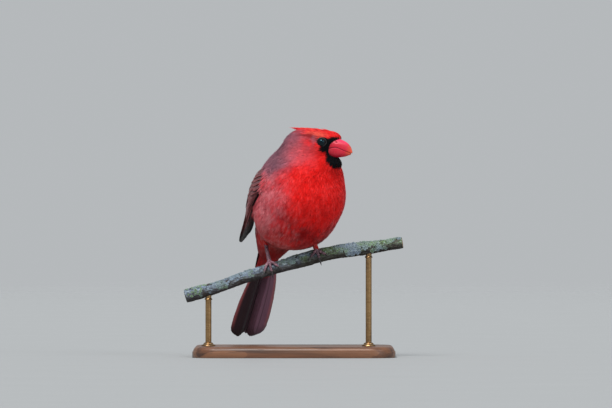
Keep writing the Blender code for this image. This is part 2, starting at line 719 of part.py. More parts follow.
def build_base(finish):
    """A rounded oblong plinth with a bevelled upper edge."""
    wide, deep, _ = BASE_SIZE
    outline = []
    for quarter, (sx, sy) in enumerate(((1, 1), (-1, 1), (-1, -1), (1, -1))):
        for share in np.linspace(0, 1, BASE_CORNER_STEPS):
            turn = (quarter + share) * pi / 2
            outline.append((sx * (wide / 2 - BASE_CORNER), sy * (deep / 2 - BASE_CORNER), turn))
    points = []
    for inset, level in BASE_PROFILE:
        for cx, cy, turn in outline:
            reach = BASE_CORNER - inset
            points.append((cx + reach * cos(turn), GRIP_BEFORE + cy + reach * sin(turn), level))
    base = add_mesh("stand_base", points, ring_faces(len(BASE_PROFILE), len(outline)), SCENE, finish)
    holes = [rod_bar(f"hole_{x}", x, ROD_RADIUS + GAP, extra=GAP) for _, x in ROD_PLACES]
    return apply_boolean(base, "DIFFERENCE", holes)


def over_perch(x, turn, clearance):
    """A scene point beside the perch: turn goes round it from the top towards the viewer."""
    centre = Vector(perch_line(x))
    along = (Vector(perch_line(x + 1)) - Vector(perch_line(x - 1))).normalized()
    front = along.cross(Vector((0, 0, 1))).normalized()
    top = front.cross(along)
    spoke = top * cos(turn) + front * sin(turn)
    return centre + Vector((0, 0, GRIP_HEIGHT)) + (perch_girth(x) + clearance) * spoke


def leg_line(x, turn):
    """The middle of the foot, and the points where the shank leaves the thigh and where the thigh starts."""
    hub = over_perch(x, radians(turn), FOOT_HUB + GAP)
    to_bird = BIRD.inverted() @ SCENE
    low = to_bird @ hub
    heel = Vector((low.x - 10, low.y * 0.9, low.z + 17))
    out = (low - heel).normalized()
    leave = surface_along(np.array(heel), np.array([out]))[0]
    ankle = Vector(leave) + out * 0.8
    return hub, to_bird.inverted() @ ankle, to_bird.inverted() @ (ankle - out * 9)


def thigh(side, x, turn):
    """The feathered thigh's end, a cone that comes out of the belly."""
    _, ankle, start = leg_line(x, turn)
    path = [start.lerp(ankle, t) for t in (0, 0.5, 0.85, 1)]
    wide, thin = THIGH_RADII
    radii = [wide, wide * 0.8, thin * 1.25, thin]
    return tube(f"thigh_{side}", path, radii, 12, SCENE, None, side_hint=(1, 0, 0))


def shank(name, x, turn, finish=None, grow=0.0):
    """The bare shank between the thigh and the foot. grow makes it the room that its neighbours leave."""
    hub, ankle, _ = leg_line(x, turn)
    down = (hub - ankle).normalized()
    first, last = ankle + down * (GAP - grow), hub - down * (FOOT_HUB + GAP - grow)
    path = [first.lerp(last, t) for t in (0, 0.3, 0.7, 1)]
    radii = [SHANK_RADIUS * k + grow for k in (1.2, 1, 1.02, 1.25)]
    return tube(name, path, radii, 10, SCENE, finish, side_hint=(1, 0, 0))


def foot(side, x, start_turn, skin, horn):
    """A foot of four toes round the perch, in one piece, and its claws."""
    inward = -1 if side == "left" else 1
    hub, _, _ = leg_line(x, start_turn)
    body = ball(f"foot_{side}", hub, FOOT_HUB, SCENE, skin, 10, 7)
    toes = []
    for toe, drift, reach in TOES:
        path, radii = [], []
        for i in range(TOE_STEPS):
            share = i / (TOE_STEPS - 1)
            turn = radians(start_turn + (reach - start_turn) * share)
            lift = TOE_RADIUS + GAP * 1.5 + (FOOT_HUB - TOE_RADIUS) * (1 - share) ** 3
            path.append(over_perch(x + inward * drift * share**0.8, turn, lift))
            radii.append(TOE_RADIUS * (1.15 - 0.3 * share + 0.08 * (i % 2)))
        toes.append(tube(f"toe_{toe}", path, radii, TOE_SIDES, SCENE, None, side_hint=(1, 0, 0)))
        end = path[-1]
        heading = (end - path[-2]).normalized()
        away = (end - over_perch(end.x, radians(reach), -3)).normalized()
        claw = []
        for share in np.linspace(0, 1, len(CLAW_RADII)):
            bend = away * CLAW_BEND * sin(pi * share * 0.62)
            claw.append(end + heading * (GAP + CLAW_LENGTH * share) + bend)
        tube(f"claw_{side}_{toe}", claw, CLAW_RADII, TOE_SIDES, SCENE, horn, side_hint=(1, 0, 0))
    apply_boolean(body, "UNION", toes)
    return apply_boolean(body, "DIFFERENCE", [shank("room", x, start_turn, grow=GAP)])


def main():
    for old in list(bpy.data.objects):
        bpy.data.objects.remove(old)

    red = material("red_plumage", (0.55, 0.03, 0.03), 0.75)
    wing_red = material("wing_plumage", (0.30, 0.06, 0.06), 0.7)
    coral = material("bill_horn", (0.72, 0.12, 0.09), 0.4)
    black = material("eye_gloss", (0.01, 0.01, 0.012), 0.08)
    leg_skin = material("leg_scales", (0.22, 0.12, 0.13), 0.6)
    claw_horn = material("claw_horn", (0.06, 0.04, 0.04), 0.45)
    bark = material("bark", (0.22, 0.2, 0.17), 0.9)
    walnut = material("base_wood", (0.14, 0.07, 0.035), 0.45)
    bronze = material("rod_metal", (0.25, 0.2, 0.14), 0.4, 1.0)

    torso = body_length("torso", 0, NECK_FROM, TORSO_RINGS, red)
    apply_boolean(torso, "UNION", [thigh(*place) for place in FEET] + [wing_seat(1), wing_seat(-1)])
    rooms = [shank(f"room_{side}", x, turn, grow=GAP) for side, x, turn in FEET]
    apply_boolean(torso, "DIFFERENCE", [wing_bed(1), wing_bed(-1)] + rooms)
    body_length("neck", NECK_FROM, HEAD_FROM, NECK_RINGS, red)

    head = head_shell(red)
    apply_boolean(head, "UNION", [lid_ring(1), lid_ring(-1)] + crest_feathers())
    sockets = [ball("socket", eye_centre(side), EYE_RADIUS + GAP, HEAD) for side in (1, -1)]
    seats = [bill_half("seat", upper, None, GAP) for upper in (True, False)]
    apply_boolean(head, "DIFFERENCE", sockets + seats)
    for name, side in (("eye_left", 1), ("eye_right", -1)):
        ball(name, eye_centre(side), EYE_RADIUS, HEAD, black)
    upper = bill_half("bill_upper", True, coral)
    ahead, aside, up, radius = NOSTRIL
    places = [(ahead, aside, up), (ahead, -aside, up)]
    nostrils = [ball("nostril", place, radius, HEAD, None, 10, 7) for place in places]
    apply_boolean(upper, "DIFFERENCE", nostrils)
    bill_half("bill_lower", False, coral)

    wing("wing_left", 1, wing_red)
    wing("wing_right", -1, wing_red)
    tail(wing_red)

    build_perch(bark)
    build_base(walnut)
    for name, x in ROD_PLACES:
        rod_bar(name, x, ROD_RADIUS, bronze)
    for side, x, turn in FEET:
        foot(side, x, turn, leg_skin, claw_horn)
        shank(f"leg_{side}", x, turn, leg_skin)


main()
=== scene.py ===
"""Dresses a perched male northern cardinal: skin, feathers, bill, eyes, feet, lichened perch and stand.

Every size is in millimetres in the bird's own frame (forward, left, up from its grip on the perch) or in
its head's frame, as in the solids, and the matrices BIRD and HEAD carry both into the scene, in metres.
"""

from math import cos, pi, radians, sin, sqrt

import bpy
import numpy as np
from mathutils import Matrix, Vector, kdtree, noise
from numpy import arange, array, clip, concatenate, cross, interp, linspace, repeat, stack, where
from numpy.linalg import norm


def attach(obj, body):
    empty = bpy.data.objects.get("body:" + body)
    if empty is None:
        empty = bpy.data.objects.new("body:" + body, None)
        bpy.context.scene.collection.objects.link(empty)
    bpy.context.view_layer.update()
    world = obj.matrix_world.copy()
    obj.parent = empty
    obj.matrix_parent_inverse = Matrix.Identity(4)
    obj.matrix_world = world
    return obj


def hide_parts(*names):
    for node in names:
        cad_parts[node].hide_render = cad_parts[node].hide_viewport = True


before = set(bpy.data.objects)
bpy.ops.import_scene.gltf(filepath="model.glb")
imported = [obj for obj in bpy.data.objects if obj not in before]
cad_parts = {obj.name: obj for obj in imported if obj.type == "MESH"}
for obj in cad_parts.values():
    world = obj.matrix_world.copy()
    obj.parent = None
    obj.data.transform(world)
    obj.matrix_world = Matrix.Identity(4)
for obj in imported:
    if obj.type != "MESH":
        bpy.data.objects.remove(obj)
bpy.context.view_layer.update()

bl_info = {
    "name": "Northern Cardinal",
    "version": (1, 0, 0),
    "blender": (4, 5, 0),
    "location": "View3D > Sidebar > Cardinal",
    "description": "Skin, feathers, bill, eyes, feet, perch and stand of a perched cardinal",
    "category": "Add Mesh",
}

MM = 0.001
GAP = 0.3  # between neighbouring solids

# The bird's stance and the rows of its spine: forward, left, up, and the pitch of the outline there
BODY_TURN, HEAD_TURN, HEAD_DROP = 32.0, 30.0, 8.0
HEAD_CENTRE = (31.0, 5.0, 95.0)
GRIP_HEIGHT, GRIP_BEFORE = 84.0, 14.0
SPINE = (
    (-38, 0, 5, 42), (-27, 0, 19, 46), (-13, 0, 33, 54), (1, 0, 46, 62), (12, 0, 60, 67), (19, 1, 71, 67),
    (25, 3, 82, 62),
)
NECK_FROM, HEAD_FROM = 5.05, 6

# Rounded forms that blend into the body: centre, radii and pitch
BLEND = 3.2
TRUNK_FORMS = (
    ((16, 0, 49), (31, 35.5, 29), 66), ((2, 0, 34.4), (29, 35.0, 28.4), 55), ((3, 0, 63), (24, 28, 22), 60),
    ((-22, 0, 24), (21, 20, 16), 50), ((-33, 0, 9), (15, 11.5, 9), 55), ((20.5, 1, 76), (18, 19.5, 19), 80),
    ((26, 1, 68), (15, 26, 16), 75),
)
HEAD_FORMS = (
    ((-2.5, 0, -4.0), (15.2, 13.2, 9.6), 0), ((-11.5, 0, -7.0), (14.5, 14.5, 14.0), 0),
    ((-2.5, 0, -6), (11.0, 12.4, 9.5), 0), ((11.2, 0, 3.0), (8.4, 6.4, 6.0), 8),
    ((12.4, 0, -16.6), (9.8, 6.4, 5.0), 0),
)

# The eyes, and the bill's profiles: distance forward, then height or half width
EYE_PLACE, EYE_RADIUS, EYE_SHOWN = (8.6, 0.4), 3.9, 3.3
CULMEN = ((8, 6.2), (14, 5.2), (20.5, 3.9), (26, 2.2), (29.8, -0.6), (32.2, -4.6))
MOUTH = ((8, -5.6), (13, -4.6), (18.5, -2.9), (21, -3.0), (26, -4.4), (32.2, -6.0))
KEEL = ((8, -12.0), (14, -12.0), (20, -10.9), (25.5, -9.5), (29.5, -7.8), (31.6, -6.9))
BILL_WIDTH = ((8, 7.6), (14, 7.4), (19, 6.2), (24, 4.4), (28.5, 2.4), (32.2, 0.5))
BILL_FROM, BILL_BARE, BILL_TO, LOWER_TO = 12.2, 12.6, 32.0, 30.6
NOSTRIL = (18.8, 5.2, 1.6)

# The folded left wing's surface: four rows of points from wrist to tip, each from its lower edge up
WING_NET = (
    ((13, 30, 60), (5, 29, 69), (-3, 19, 75)), ((-5, 35.5, 45), (-14, 30, 55), (-20, 13, 61)),
    ((-27, 28.5, 26), (-33, 22, 35), (-38, 6, 41)),
    ((-52.5, 19.5, 6.4), (-54.5, 17, 9.4), (-55.5, 12, 12.4)),
)
ROUND_LOWER, ROUND_UPPER = 0.16, 0.07

TAIL_SLOPE, TAIL_LENGTH, TAIL_WIDTH = 59.3, 84.0, 31.0
TAIL_PAIRS, TAIL_STEP, TAIL_CORE = 6, 0.85, 22.0

# The perch's line, the feet (side, X, turn of the leg round it), and the toes (drift, turn of the tip)
PERCH_LINE = (
    (-90, 3, -33.8), (-62, 1, -25.7), (-38, 0, -17), (3, 0, -4.8), (28, 0, 1.8), (63, -1, 6.6),
    (90, -3, 11.0),
)
PERCH_RADIUS = 5.1
FEET = (("right", -18.5, 20), ("left", 20.0, 52))
TOES = (("inner", 5.5, 84), ("middle", -0.5, 104), ("outer", -6.0, 90), ("hind", -0.8, -96))
FOOT_HUB, TOE_RADIUS, SHANK_RADIUS = 1.9, 1.2, 1.25
CLAW_LENGTH, CLAW_BEND = 6.5, 1.4
BASE_SIZE, BASE_CORNER = (168.0, 120.0, 9.0), 22.0
ROD_RADIUS, ROD_SUNK = 2.5, 3.0
ROD_PLACES = (("stand_rod_left", -71.0), ("stand_rod_right", 62.0))

SCENE = Matrix.Translation((0, -GRIP_BEFORE * MM, 0)) @ Matrix.Scale(MM, 4)
BIRD = SCENE @ Matrix.Translation((0, 0, GRIP_HEIGHT)) @ Matrix.Rotation(radians(BODY_TURN - 90), 4, "Z")
HEAD_IN_BIRD = (
    Matrix.Translation(HEAD_CENTRE)
    @ Matrix.Rotation(radians(HEAD_TURN), 4, "Z")
    @ Matrix.Rotation(radians(HEAD_DROP), 4, "Y")
)
HEAD = BIRD @ HEAD_IN_BIRD
BIRD_IN_HEAD = HEAD_IN_BIRD.inverted()
IN_BIRD = BIRD.inverted() @ SCENE

# The photo's frame: its width at the bird in metres, its middle, and the lens
VIEW_WIDTH, VIEW_MIDDLE, VIEW_LENS, VIEW_SENSOR = 0.508, (0.010, -0.014, 0.1270), 400.0, 36.0

SKIN_SIDES, SKIN_RINGS, CROWN_RINGS = 96, 88, 36
UNWRAP_NECK = 0.72  # the share of the unwrap's height that the trunk and neck take
TUFT_PATCH = 0.003


def linear(*screen):
    """A colour given by its screen values from 0 to 255, as light."""
    return tuple((v / 255 / 12.92) if v <= 10 else ((v / 255 + 0.055) / 1.055) ** 2.4 for v in screen)


# Small tools for shapes


def placed(points, matrix):
    """Points of a frame, carried by a matrix."""
    whole = array(matrix)
    return np.asarray(points, float) @ whole[:3, :3].T + whole[:3, 3]


def unit(vectors):
    """Vectors of length one."""
    return vectors / np.maximum(norm(vectors, axis=-1, keepdims=True), 1e-9)


def ease(low, high, values):
    """A smooth step from 0 at low to 1 at high."""
    share = clip((np.asarray(values, float) - low) / (high - low), 0, 1)
    return share * share * (3 - 2 * share)


def circle(count):
    """Evenly spaced angles round a circle."""
    return 2 * pi * arange(count) / count


def wheel(turns, first, second):
    """Directions that turn from a first one towards a second."""
    return np.cos(turns)[:, None] * first + np.sin(turns)[:, None] * second


def along_curve(knots, t):
    """A point of the smooth curve through knots, where t counts knots."""
    i = min(max(int(t), 0), len(knots) - 2)
    f = t - i
    p1, p2 = array(knots[i], float), array(knots[i + 1], float)
    p0 = array(knots[i - 1], float) if i else 2 * p1 - p2
    p3 = array(knots[i + 2], float) if i + 2 < len(knots) else 2 * p2 - p1
    square = 2 * p0 - 5 * p1 + 4 * p2 - p3
    cube = 3 * p1 - p0 - 3 * p2 + p3
    return 0.5 * (2 * p1 + (p2 - p0) * f + square * f**2 + cube * f**3)


def height_at(profile, ahead):
    """A profile's value at a distance forward, on the smooth curve through its points."""
    stations = [p[0] for p in profile]
    t = float(interp(ahead, stations, range(len(stations))))
    for _ in range(5):
        i = min(int(t), len(stations) - 2)
        t += (ahead - along_curve(profile, t)[0]) / (stations[i + 1] - stations[i])
    return float(along_curve(profile, t)[1])


def ring_faces(rings, sides, closed=True):
    """Quads between neighbouring rings of points."""
    r, s = np.meshgrid(arange(rings - 1), arange(sides if closed else sides - 1), indexing="ij")
    a = r * sides + s
    b = r * sides + (s + 1) % sides
    return stack([a, b, b + sides, a + sides], -1).reshape(-1, 4)


def split_quads(quads):
    """Two triangles for each quad."""
    return concatenate([quads[:, [0, 1, 2]], quads[:, [0, 2, 3]]])


def cap(first, sides, middle, turned=False):
    """A fan of triangles from a ring to its middle point."""
    s = arange(sides)
    fan = stack([first + s, first + (s + 1) % sides, np.full(sides, middle)], -1)
    return fan[:, ::-1] if turned else fan


def closed_rings(rings, ends=None):
    """Points and triangles of a closed shape from its rings and its end points, or the rings' middles."""
    sides, count = len(rings[0]), len(rings) * len(rings[0])
    ends = (rings[0].mean(0), rings[-1].mean(0)) if ends is None else ends
    caps = [cap(0, sides, count, True), cap(count - sides, sides, count + 1)]
    faces = concatenate([split_quads(ring_faces(len(rings), sides)), *caps])
    return concatenate([*rings, array(ends)]), faces


def mesh_piece(name, points, faces, materials, uv=None, values=None, slots=None, normals=None):
    """A mesh object from points in metres and triangles, with an unwrap, point values and a finish."""
    mesh = bpy.data.meshes.new(name)
    faces = np.ascontiguousarray(faces, np.int32)
    mesh.vertices.add(len(points))
    mesh.vertices.foreach_set("co", np.ascontiguousarray(points, np.float32).ravel())
    mesh.loops.add(faces.size)
    mesh.loops.foreach_set("vertex_index", faces.ravel())
    mesh.polygons.add(len(faces))
    mesh.polygons.foreach_set("loop_start", arange(0, faces.size, faces.shape[1], dtype=np.int32))
    for made in materials if isinstance(materials, list) else [materials]:
        mesh.materials.append(made)
    if slots is not None:
        mesh.polygons.foreach_set("material_index", np.ascontiguousarray(slots, np.int32))
    mesh.update(calc_edges=True)
    if uv is not None:
        corners = uv[faces] if uv.ndim == 2 else uv
        layer = mesh.uv_layers.new(name="OFBake")
        layer.uv.foreach_set("vector", np.ascontiguousarray(corners, np.float32).ravel())
    for key, value in (values or {}).items():
        kind, field = ("FLOAT_VECTOR", "vector") if value.ndim == 2 else ("FLOAT", "value")
        data = mesh.attributes.new(key, kind, "POINT").data
        data.foreach_set(field, np.ascontiguousarray(value, np.float32).ravel())
    mesh.shade_smooth()
    if normals is not None:
        mesh.normals_split_custom_set_from_vertices(np.ascontiguousarray(normals, np.float32))
    made = bpy.data.objects.new(name, mesh)
    bpy.context.scene.collection.objects.link(made)
    return made


def stands_for(piece, slot, *nodes):
    """Hangs a piece on the model in place of nodes of the solids."""
    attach(piece, "root")
    if nodes:
        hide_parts(*nodes)
    return piece


class Shapes:
    """Collects closed shapes, with their unwraps and point values, that become one piece."""

    def __init__(self):
        self.points, self.faces, self.uv, self.values, self.count = [], [], [], {}, 0

    def add(self, points, faces, uv=None, **values):
        points, faces = np.asarray(points, float), np.asarray(faces)
        corners = (points - points.mean(0))[faces]
        if (cross(corners[:, 0], corners[:, 1]) * corners[:, 2]).sum() < 0:
            faces = faces[:, ::-1]
        self.points.append(points)
        self.faces.append(faces + self.count)
        self.uv.append(uv)
        for key, value in values.items():
            size = (len(points), 3) if key == "root" else len(points)
            self.values.setdefault(key, []).append(np.broadcast_to(value, size))
        self.count += len(points)

    def piece(self, name, frame_matrix, materials, slot, *nodes):
        values = {key: concatenate(parts) for key, parts in self.values.items()}
        if "root" in values:
            values["root"] = placed(values["root"], frame_matrix)
        uv = None if self.uv[0] is None else concatenate(self.uv)
        points = placed(concatenate(self.points), frame_matrix)
        made = mesh_piece(name, points, concatenate(self.faces), materials, uv, values)
        return stands_for(made, slot, *nodes)


def tube_shape(path, radii, sides, swell=None):
    """Points and triangles of a round bar with domed ends. swell(share, turn) changes its radius."""
    path, turns, deep, rings = np.asarray(path, float), circle(sides), (1, 0, 0), []
    for i, centre in enumerate(path):
        along = unit(path[min(i + 1, len(path) - 1)] - path[max(i - 1, 0)])
        across = unit(cross(along, deep))
        deep = cross(across, along)
        grow = swell(i / (len(path) - 1), turns) if swell else np.ones(sides)
        rings.append(centre + radii[i] * grow[:, None] * wheel(turns, across, deep))
    return closed_rings(rings, (path[0], path[-1]))


# The body's surface, as in the solids


def placed_forms():
    """Every rounded form in the bird's frame: centre, axes and radii."""
    forms = []
    for matrix, group in ((Matrix.Identity(4), TRUNK_FORMS), (HEAD_IN_BIRD, HEAD_FORMS)):
        for centre, radii, pitch in group:
            turned = matrix @ Matrix.Rotation(radians(-pitch), 4, "Y")
            forms.append((array(matrix @ Vector(centre)), array(turned.to_3x3()), array(radii, float)))
    return forms


FORMS = placed_forms()


def forms_field(points):
    """How far points lie outside the blended forms, roughly, and the gradient of that."""
    total, slope = 0.0, 0.0
    for centre, axes, radii in FORMS:
        scaled = ((points - centre) @ axes) / radii
        size = np.maximum(norm(scaled, axis=1), 1e-6)
        weight = np.exp(-(size - 1) * radii.min() / BLEND)
        total = total + weight
        slope = slope + (weight / size * radii.min())[:, None] * ((scaled / radii) @ axes.T)
    return -BLEND * np.log(total), slope / total[:, None]


# How deep the bare skin lies under the plumage, by distance from the bill's base
SKIN_DEPTHS = ((2.0, 8.0, 22.0), (0.35, 0.6, 1.1))
FACE_MIDDLE, FACE_REACH = (13.5, 0.0, -4.0), 5.0


def face_distance(points):
    """How far points of the bird's frame are from the bill's base and from the eyes."""
    local = placed(points, BIRD_IN_HEAD)
    away = np.maximum(norm(local - array(FACE_MIDDLE), axis=1) - FACE_REACH, 0)
    eye = norm(local[:, [0, 2]] - array(EYE_PLACE), axis=1)
    return where(local[:, 0] > -4, np.minimum(away, eye * 0.9 + 2.0), away)


def skin_depth(points):
    """How deep the skin lies under the plumage's surface at points."""
    return interp(face_distance(points), *SKIN_DEPTHS)


def surface_along(centres, directions, bare=False, reach=70.0):
    """Where rays from points inside the body leave its plumage, or its bare skin."""
    near, far = np.zeros(len(directions)), np.full(len(directions), reach)
    for _ in range(22):
        middle = (near + far) / 2
        points = centres + directions * middle[:, None]
        inside = forms_field(points)[0] < (-skin_depth(points) if bare else 0.0)
        near, far = where(inside, middle, near), where(inside, far, middle)
    return centres + directions * near[:, None]


def ring_on_plane(centre, pitch, yaw):
    """The skin's outline in a plane whose normal has this pitch, from its back turned by yaw."""
    front = array((sin(radians(pitch)), 0, -cos(radians(pitch))))
    directions = wheel(yaw + pi + circle(SKIN_SIDES), front, array((0.0, 1.0, 0.0)))
    return surface_along(np.tile(centre, (SKIN_SIDES, 1)), directions, True)


def net_points(s, w):
    """Points of the folded left wing's surface, for s from wrist to tip and w from its lower edge up."""
    x, w = 3 * np.asarray(s, float)[..., None], np.asarray(w, float)[..., None]
    rows = [array(row, float) for row in WING_NET]
    a, b, c, d = (p * (2 * w - 1) * (w - 1) + q * 4 * w * (1 - w) + r * w * (2 * w - 1) for p, q, r in rows)
    return (
        a * (1 - x) * (2 - x) * (3 - x) / 6
        + b * x * (2 - x) * (3 - x) / 2
        - c * x * (1 - x) * (3 - x) / 2
        + d * x * (1 - x) * (2 - x) / 6
    )


def wing_points(s, w, height, side):
    """Points over the folded wing, and the outward directions there."""
    s, w = np.broadcast_arrays(np.asarray(s, float), np.asarray(w, float))
    s = s + where(w < 0.5, ROUND_LOWER, ROUND_UPPER) * (2 * w - 1) ** 2 * np.maximum(1 - s, 0) ** 3
    step = 0.02
    along = net_points(s + step, w) - net_points(s - step, w)
    outward = unit(cross(net_points(s, w + step) - net_points(s, w - step), along))
    outward = where(outward[..., 1:2] < 0, -outward, outward)
    mirror = array((1.0, side, 1.0))
    return (net_points(s, w) + outward * np.asarray(height, float)[..., None]) * mirror, outward * mirror


# A grid over the wing's surface, with how far its covers reach above and below it and beyond its edge
GRID_S, GRID_W = (g.ravel() for g in np.meshgrid(linspace(0, 1, 31), linspace(0, 1, 13), indexing="ij"))
GRID_POINTS, GRID_OUT = wing_points(GRID_S, GRID_W, np.zeros(len(GRID_S)), 1)
WING_TOP = interp(GRID_S, (0, 0.12, 0.35, 0.55, 0.8, 1), (2.6, 3.4, 4.0, 2.9, 1.8, 1.2))
WING_UNDER, EDGE_REACH = 2.2, 2.0
SOFT_UNION = 1.3


def over_wing(points):
    """Each point's height over the nearer wing, how far beside it, the nearest grid point, and its side."""
    side = np.ones_like(points)
    side[:, 1] = where(points[:, 1] < 0, -1.0, 1.0)
    mirrored = points * side
    squares = (mirrored**2).sum(1)[:, None] + (GRID_POINTS**2).sum(1) - 2 * mirrored @ GRID_POINTS.T
    nearest = squares.argmin(1)
    away = mirrored - GRID_POINTS[nearest]
    height = (away * GRID_OUT[nearest]).sum(1)
    return height, away - height[:, None] * GRID_OUT[nearest], nearest, side


def wing_field(points):
    """How far points lie outside the folded wings' covers, and the direction away from them."""
    height, beside, nearest, side = over_wing(points)
    wide = np.maximum(norm(beside, axis=1) - EDGE_REACH, 0)
    above, below = height - WING_TOP[nearest], -WING_UNDER - height
    rise = np.maximum(above, below)
    lift = np.maximum(rise, 0)
    outside = (wide > 0) | (rise > 0)
    upright = GRID_OUT[nearest] * where(above >= below, 1, -1)[:, None]
    mixed = upright * np.maximum(lift, 1e-6)[:, None] + unit(beside) * wide[:, None]
    return where(outside, np.hypot(lift, wide), rise), where(outside[:, None], unit(mixed), upright) * side


def lying_field(points, with_wings):
    """Distance over the body, or over body and wing covers together, and the outward direction there."""
    away, slope = forms_field(points)
    steep = np.maximum(norm(slope, axis=1), 0.2)
    body, outward = away / steep, slope / steep[:, None]
    if with_wings.any():
        cover, lift = wing_field(points)
        near = np.exp(-clip(stack([body, cover]), -20, 40) / SOFT_UNION)
        share = near / near.sum(0)
        mixed = unit(outward * share[0][:, None] + lift * share[1][:, None])
        body = where(with_wings, -SOFT_UNION * np.log(near.sum(0)), body)
        outward = where(with_wings[:, None], mixed, outward)
    return body, unit(outward)


# The tail's frame: along it, to the left, and towards its upper side
TAIL_BACK, TAIL_DOWN = cos(radians(TAIL_SLOPE)), sin(radians(TAIL_SLOPE))
TAIL_IN_BIRD = Matrix((
    (-TAIL_BACK, 0, -TAIL_DOWN, SPINE[0][0]),
    (0, 1, 0, 0),
    (-TAIL_DOWN, 0, TAIL_BACK, SPINE[0][2]),
    (0, 0, 0, 1),
))
# Rings of skin round the tail's root: distance along, half width and half thickness
TAIL_RINGS = ((19, 6.0, 2.2), (15, 7.4, 3.6), (10, 8.2, 5.0), (5, 8.6, 6.0))


def skin_rings():
    """The skin's rings from the tail's flesh to the crown, their heights on the unwrap, and the crown."""
    start, middle = along_curve(SPINE, HEAD_FROM), array(HEAD_CENTRE)
    crown = surface_along(middle[None], array([(0.0, 0.0, 1.0)]), True)[0]
    turns = pi + circle(SKIN_SIDES)
    rings = []
    for along, wide, thick in TAIL_RINGS:
        dorsal = -thick * np.cos(turns) - 0.6
        forward = SPINE[0][0] - along * TAIL_BACK - dorsal * TAIL_DOWN
        upward = SPINE[0][2] - along * TAIL_DOWN + dorsal * TAIL_BACK
        rings.append(stack([forward, wide * np.sin(turns), upward], 1))
    for station in linspace(0, HEAD_FROM, SKIN_RINGS):
        *centre, pitch = along_curve(SPINE, station)
        yaw = radians(HEAD_TURN) * min(max((station - NECK_FROM + 0.6) / 1.6, 0), 1)
        rings.append(ring_on_plane(array(centre), pitch, yaw))
    trunk = len(rings)
    for i in range(1, CROWN_RINGS):
        up = sin(pi / 2 * i / CROWN_RINGS)
        centre = start[:3] * (1 - up) + (crown - (0, 0, 0.02)) * up
        rings.append(ring_on_plane(centre, start[3] + (90 - start[3]) * up, radians(HEAD_TURN)))
    heights = concatenate([linspace(0.01, UNWRAP_NECK, trunk), linspace(UNWRAP_NECK, 0.99, CROWN_RINGS)[1:]])
    return rings, heights, crown


THIGH_RADII = (3.2, 3.0, 2.7, 2.1, 1.6, 1.3)
THIGH_SHARES = (0, 0.25, 0.5, 0.75, 0.92, 1)
THIGH_SPOTS = {"right": (0.27, 0.2), "left": (0.73, 0.2)}  # their places on the unwrap


def make_skin(material):
    """The bare skin under the feathers, in one mesh from the tail's root to the crown, with both thighs."""
    rings, heights, crown = skin_rings()
    points, faces = closed_rings(rings, (rings[0].mean(0), crown))
    last = len(rings) * SKIN_SIDES
    turn = np.tile(arange(SKIN_SIDES) / SKIN_SIDES, len(rings))
    unwrap = stack([0.01 + 0.98 * turn, repeat(heights, SKIN_SIDES)], 1)
    unwrap = concatenate([unwrap, [(0.5, 0.0), (0.5, 1.0)]])
    corners = unwrap[faces]
    crossing = np.ptp(corners[..., 0], 1) > 0.5
    corners[..., 0] += where(crossing[:, None] & (corners[..., 0] < 0.5), 0.98, 0)
    ends = faces.max(1) >= last
    corners[ends, 2, 0] = corners[ends, :2, 0].mean(1)
    shape = Shapes()
    shape.add(points, faces, corners)
    for side, x, turn in FEET:
        _, ankle, start = leg_line(x, turn)
        path = [tuple(IN_BIRD @ start.lerp(ankle, t)) for t in THIGH_SHARES]
        thigh = tube_shape(path, THIGH_RADII, 20)
        flat = np.tile(THIGH_SPOTS[side], (len(thigh[1]), 3, 1)) + 0.01 * unwrap[: len(thigh[1]), None]
        shape.add(*thigh, flat)
    shape.piece("skin", BIRD, material, "plumage", "head", "neck", "torso")
    return points, faces, unwrap


# The lie of the feathers: where it starts on the head, how it is drawn, and where the trunk's takes over

SPINE_LINE = array([along_curve(SPINE, t)[:3] for t in linspace(0, HEAD_FROM, 61)])
SPINE_WAY = unit(np.gradient(SPINE_LINE, axis=0))
LIE_SOURCE, LIE_DRAW = array((18.0, 0.0, -3.5)), array((-0.35, 0.0, -0.28))
LIE_BLEND, LIE_HEAD = (17.0, 33.0), array((0.0, 0.0, -5.0))


def lie_at(points, outward):
    """The direction that feathers lie in: away from the bill on the head, towards the tail on the trunk."""
    apart = ((points[:, None] - SPINE_LINE) ** 2).sum(2)
    nearness = np.exp(-(apart - apart.min(1, keepdims=True)) / 60)
    trunk = -unit((nearness[:, :, None] * SPINE_WAY).sum(1))
    local = placed(points, BIRD_IN_HEAD)
    head = unit(unit(local - LIE_SOURCE) + LIE_DRAW) @ array(HEAD_IN_BIRD.to_3x3()).T
    share = ease(*LIE_BLEND, norm(local - LIE_HEAD, axis=1))[:, None]
    mixed = trunk * share + head * (1 - share)
    return unit(mixed - (mixed * outward).sum(1, keepdims=True) * outward)


def scatter(points, faces, unwrap, spacing, seed):
    """Roots strewn evenly over a skin: spacing(points) is the least distance between them."""
    random = np.random.default_rng(seed)
    corners = points[faces]
    areas = norm(cross(corners[:, 1] - corners[:, 0], corners[:, 2] - corners[:, 0]), axis=1) / 2
    weight = areas / spacing(corners.mean(1)) ** 2
    count = int(weight.sum() * 5)
    chosen = random.choice(len(faces), count, p=weight / weight.sum())
    a, b = random.random(count), random.random(count)
    over = a + b > 1
    a, b = where(over, 1 - a, a), where(over, 1 - b, b)
    shares = stack([1 - a - b, a, b], 1)[..., None]
    roots = (corners[chosen] * shares).sum(1)
    flat = unwrap[faces[chosen]]
    apart = flat[..., 0] - flat[:, :1, 0]
    flat[..., 0] += where(apart > 0.5, -0.98, 0) + where(-apart > 0.5, 0.98, 0)
    places = (flat * shares).sum(1)
    places[:, 0] = 0.01 + (places[:, 0] - 0.01) % 0.98
    room = spacing(roots)
    tree = kdtree.KDTree(count)
    for i, root in enumerate(roots):
        tree.insert(root, i)
    tree.balance()
    free, kept = np.ones(count, bool), []
    for i in range(count):
        if free[i]:
            kept.append(i)
            for _, j, _ in tree.find_range(roots[i], room[i]):
                free[j] = False
    return roots[kept], places[kept], random


